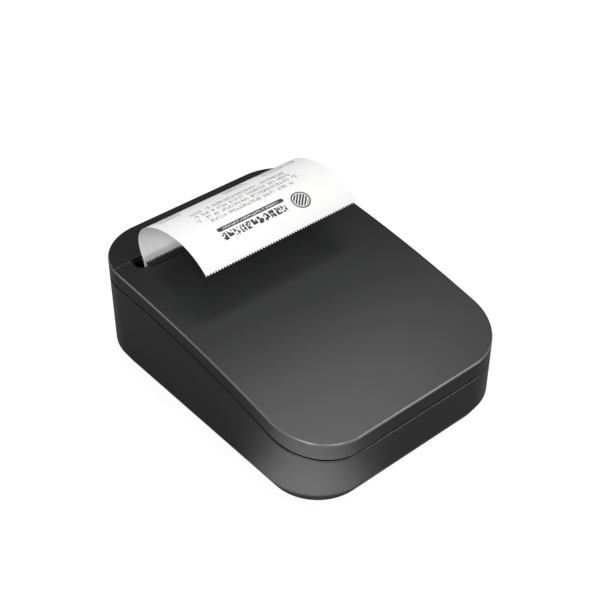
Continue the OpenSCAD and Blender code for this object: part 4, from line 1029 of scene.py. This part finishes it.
def marks(pitch, columns_in, rows_in, row_pitch, row_tall, start, fill):
    """Rows of small blocks, like print seen from too far off to read."""
    down = along - start
    row = whole(down / row_pitch)
    in_row = down - row * row_pitch
    block_at = whole(across / pitch)
    part = (across - block_at * pitch) / (pitch / (columns_in + 1))
    ink = speck(block_at * (columns_in + 1) + whole(part),
                row * 20 + whole(in_row / (row_tall / rows_in))) < fill
    return ink * (in_row < row_tall) * (part < columns_in), row, block_at


small, row, block_at = marks(1.28, 3, 5, 3.2, 2.1, 21.0, 0.56)
word = speck(block_at + 0.5, row + 7.5) > 0.17
wide = 21 + speck(row, row + 3.5) * 9
head_rows = small * word * band(along, 20.9, 33.6) * (abs(across) < wide)
items = band(across, -36, -18 + speck(row, row) * 4) + band(across, -9, 3) + band(across, 25.4, 36)
item_rows = small * band(along, 36.7, 60) * items
title = marks(3.05, 4, 5, 40, 3.7, 9.8, 0.66)[0] * band(along, 9.8, 13.5) * band(across, -9, 23.5)
from_bar = abs(across - 6.5)
bar_off = abs(along - 15.55)
bar_end = receipt.node("Math", {"operation": "MAXIMUM"}, [from_bar - 16, 0.0])
bar_gaps = marks(0.9, 3, 4, 40, 0.9, 15.1, 0.5)[0] * band(along, 15.1, 16.0) * (from_bar < 14.5)
bar = ((bar_end * bar_end + bar_off * bar_off) < 1.1) * (1 - bar_gaps)
badge_a, badge_b = across + 17.1, along - 11.8
badge_r = receipt.node("Math", {"operation": "SQRT"}, [badge_a * badge_a + badge_b * badge_b])
stripes = (badge_r < 3.3) * (((badge_a + badge_b) % 1.7) < 1.05)
badge = (abs(badge_r - 4.0) < 0.32) + stripes
black = (title + bar + badge) > 0.5
faint = (head_rows + item_rows) * 0.9
paper_grain = receipt.noise(0.25, 3, 0.6)
soft = receipt.noise(12, 2)
thin_paper, through = (0.86, 0.86, 0.855), 0.35
white = receipt.mix(paper_grain * 0.5 + soft * 0.5, (0.84, 0.84, 0.835), (0.90, 0.90, 0.895))
grey = receipt.mix(faint, white, (0.13, 0.13, 0.135))
receipt.feed(Base_Color=receipt.mix(black, grey, (0.022, 0.022, 0.024)),
             Roughness=0.46 + paper_grain * 0.12, Normal=receipt.bump(paper_grain, 0.006))
receipt.glow_through(thin_paper, through * (1 - faint) * (1 - black))
sheet = finished(to_object("receipt_sheet", strip), "receipt_sheet", receipt.material, None,
                 "receipt_paper", "receipt_strip", turn=50)
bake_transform(sheet, "case", "receipt", start=(0, 0.0526, 0.0487), end=(0, 0.0526, curl_mid * mm))
plain = Paint("plain_paper", Specular_IOR_Level=0.4)
plain_grain = plain.noise(0.25, 3, 0.6)
plain.feed(Base_Color=plain.mix(plain_grain, (0.82, 0.82, 0.815), (0.88, 0.88, 0.875)),
           Roughness=0.46 + plain_grain * 0.12, Normal=plain.bump(plain_grain, 0.006))
plain.glow_through(thin_paper, through)
dress(plain.material, "paper_web")

paper = (sheet, nodes["paper_web"], nodes["paper_roll"])
for collection, things in ((sheet_lit, paper), (shell_lit, shells), (but_sheet, paper)):
    for thing in things:
        collection.objects.link(thing)
for left_out in but_sheet.collection_objects:
    left_out.light_linking.link_state = "EXCLUDE"
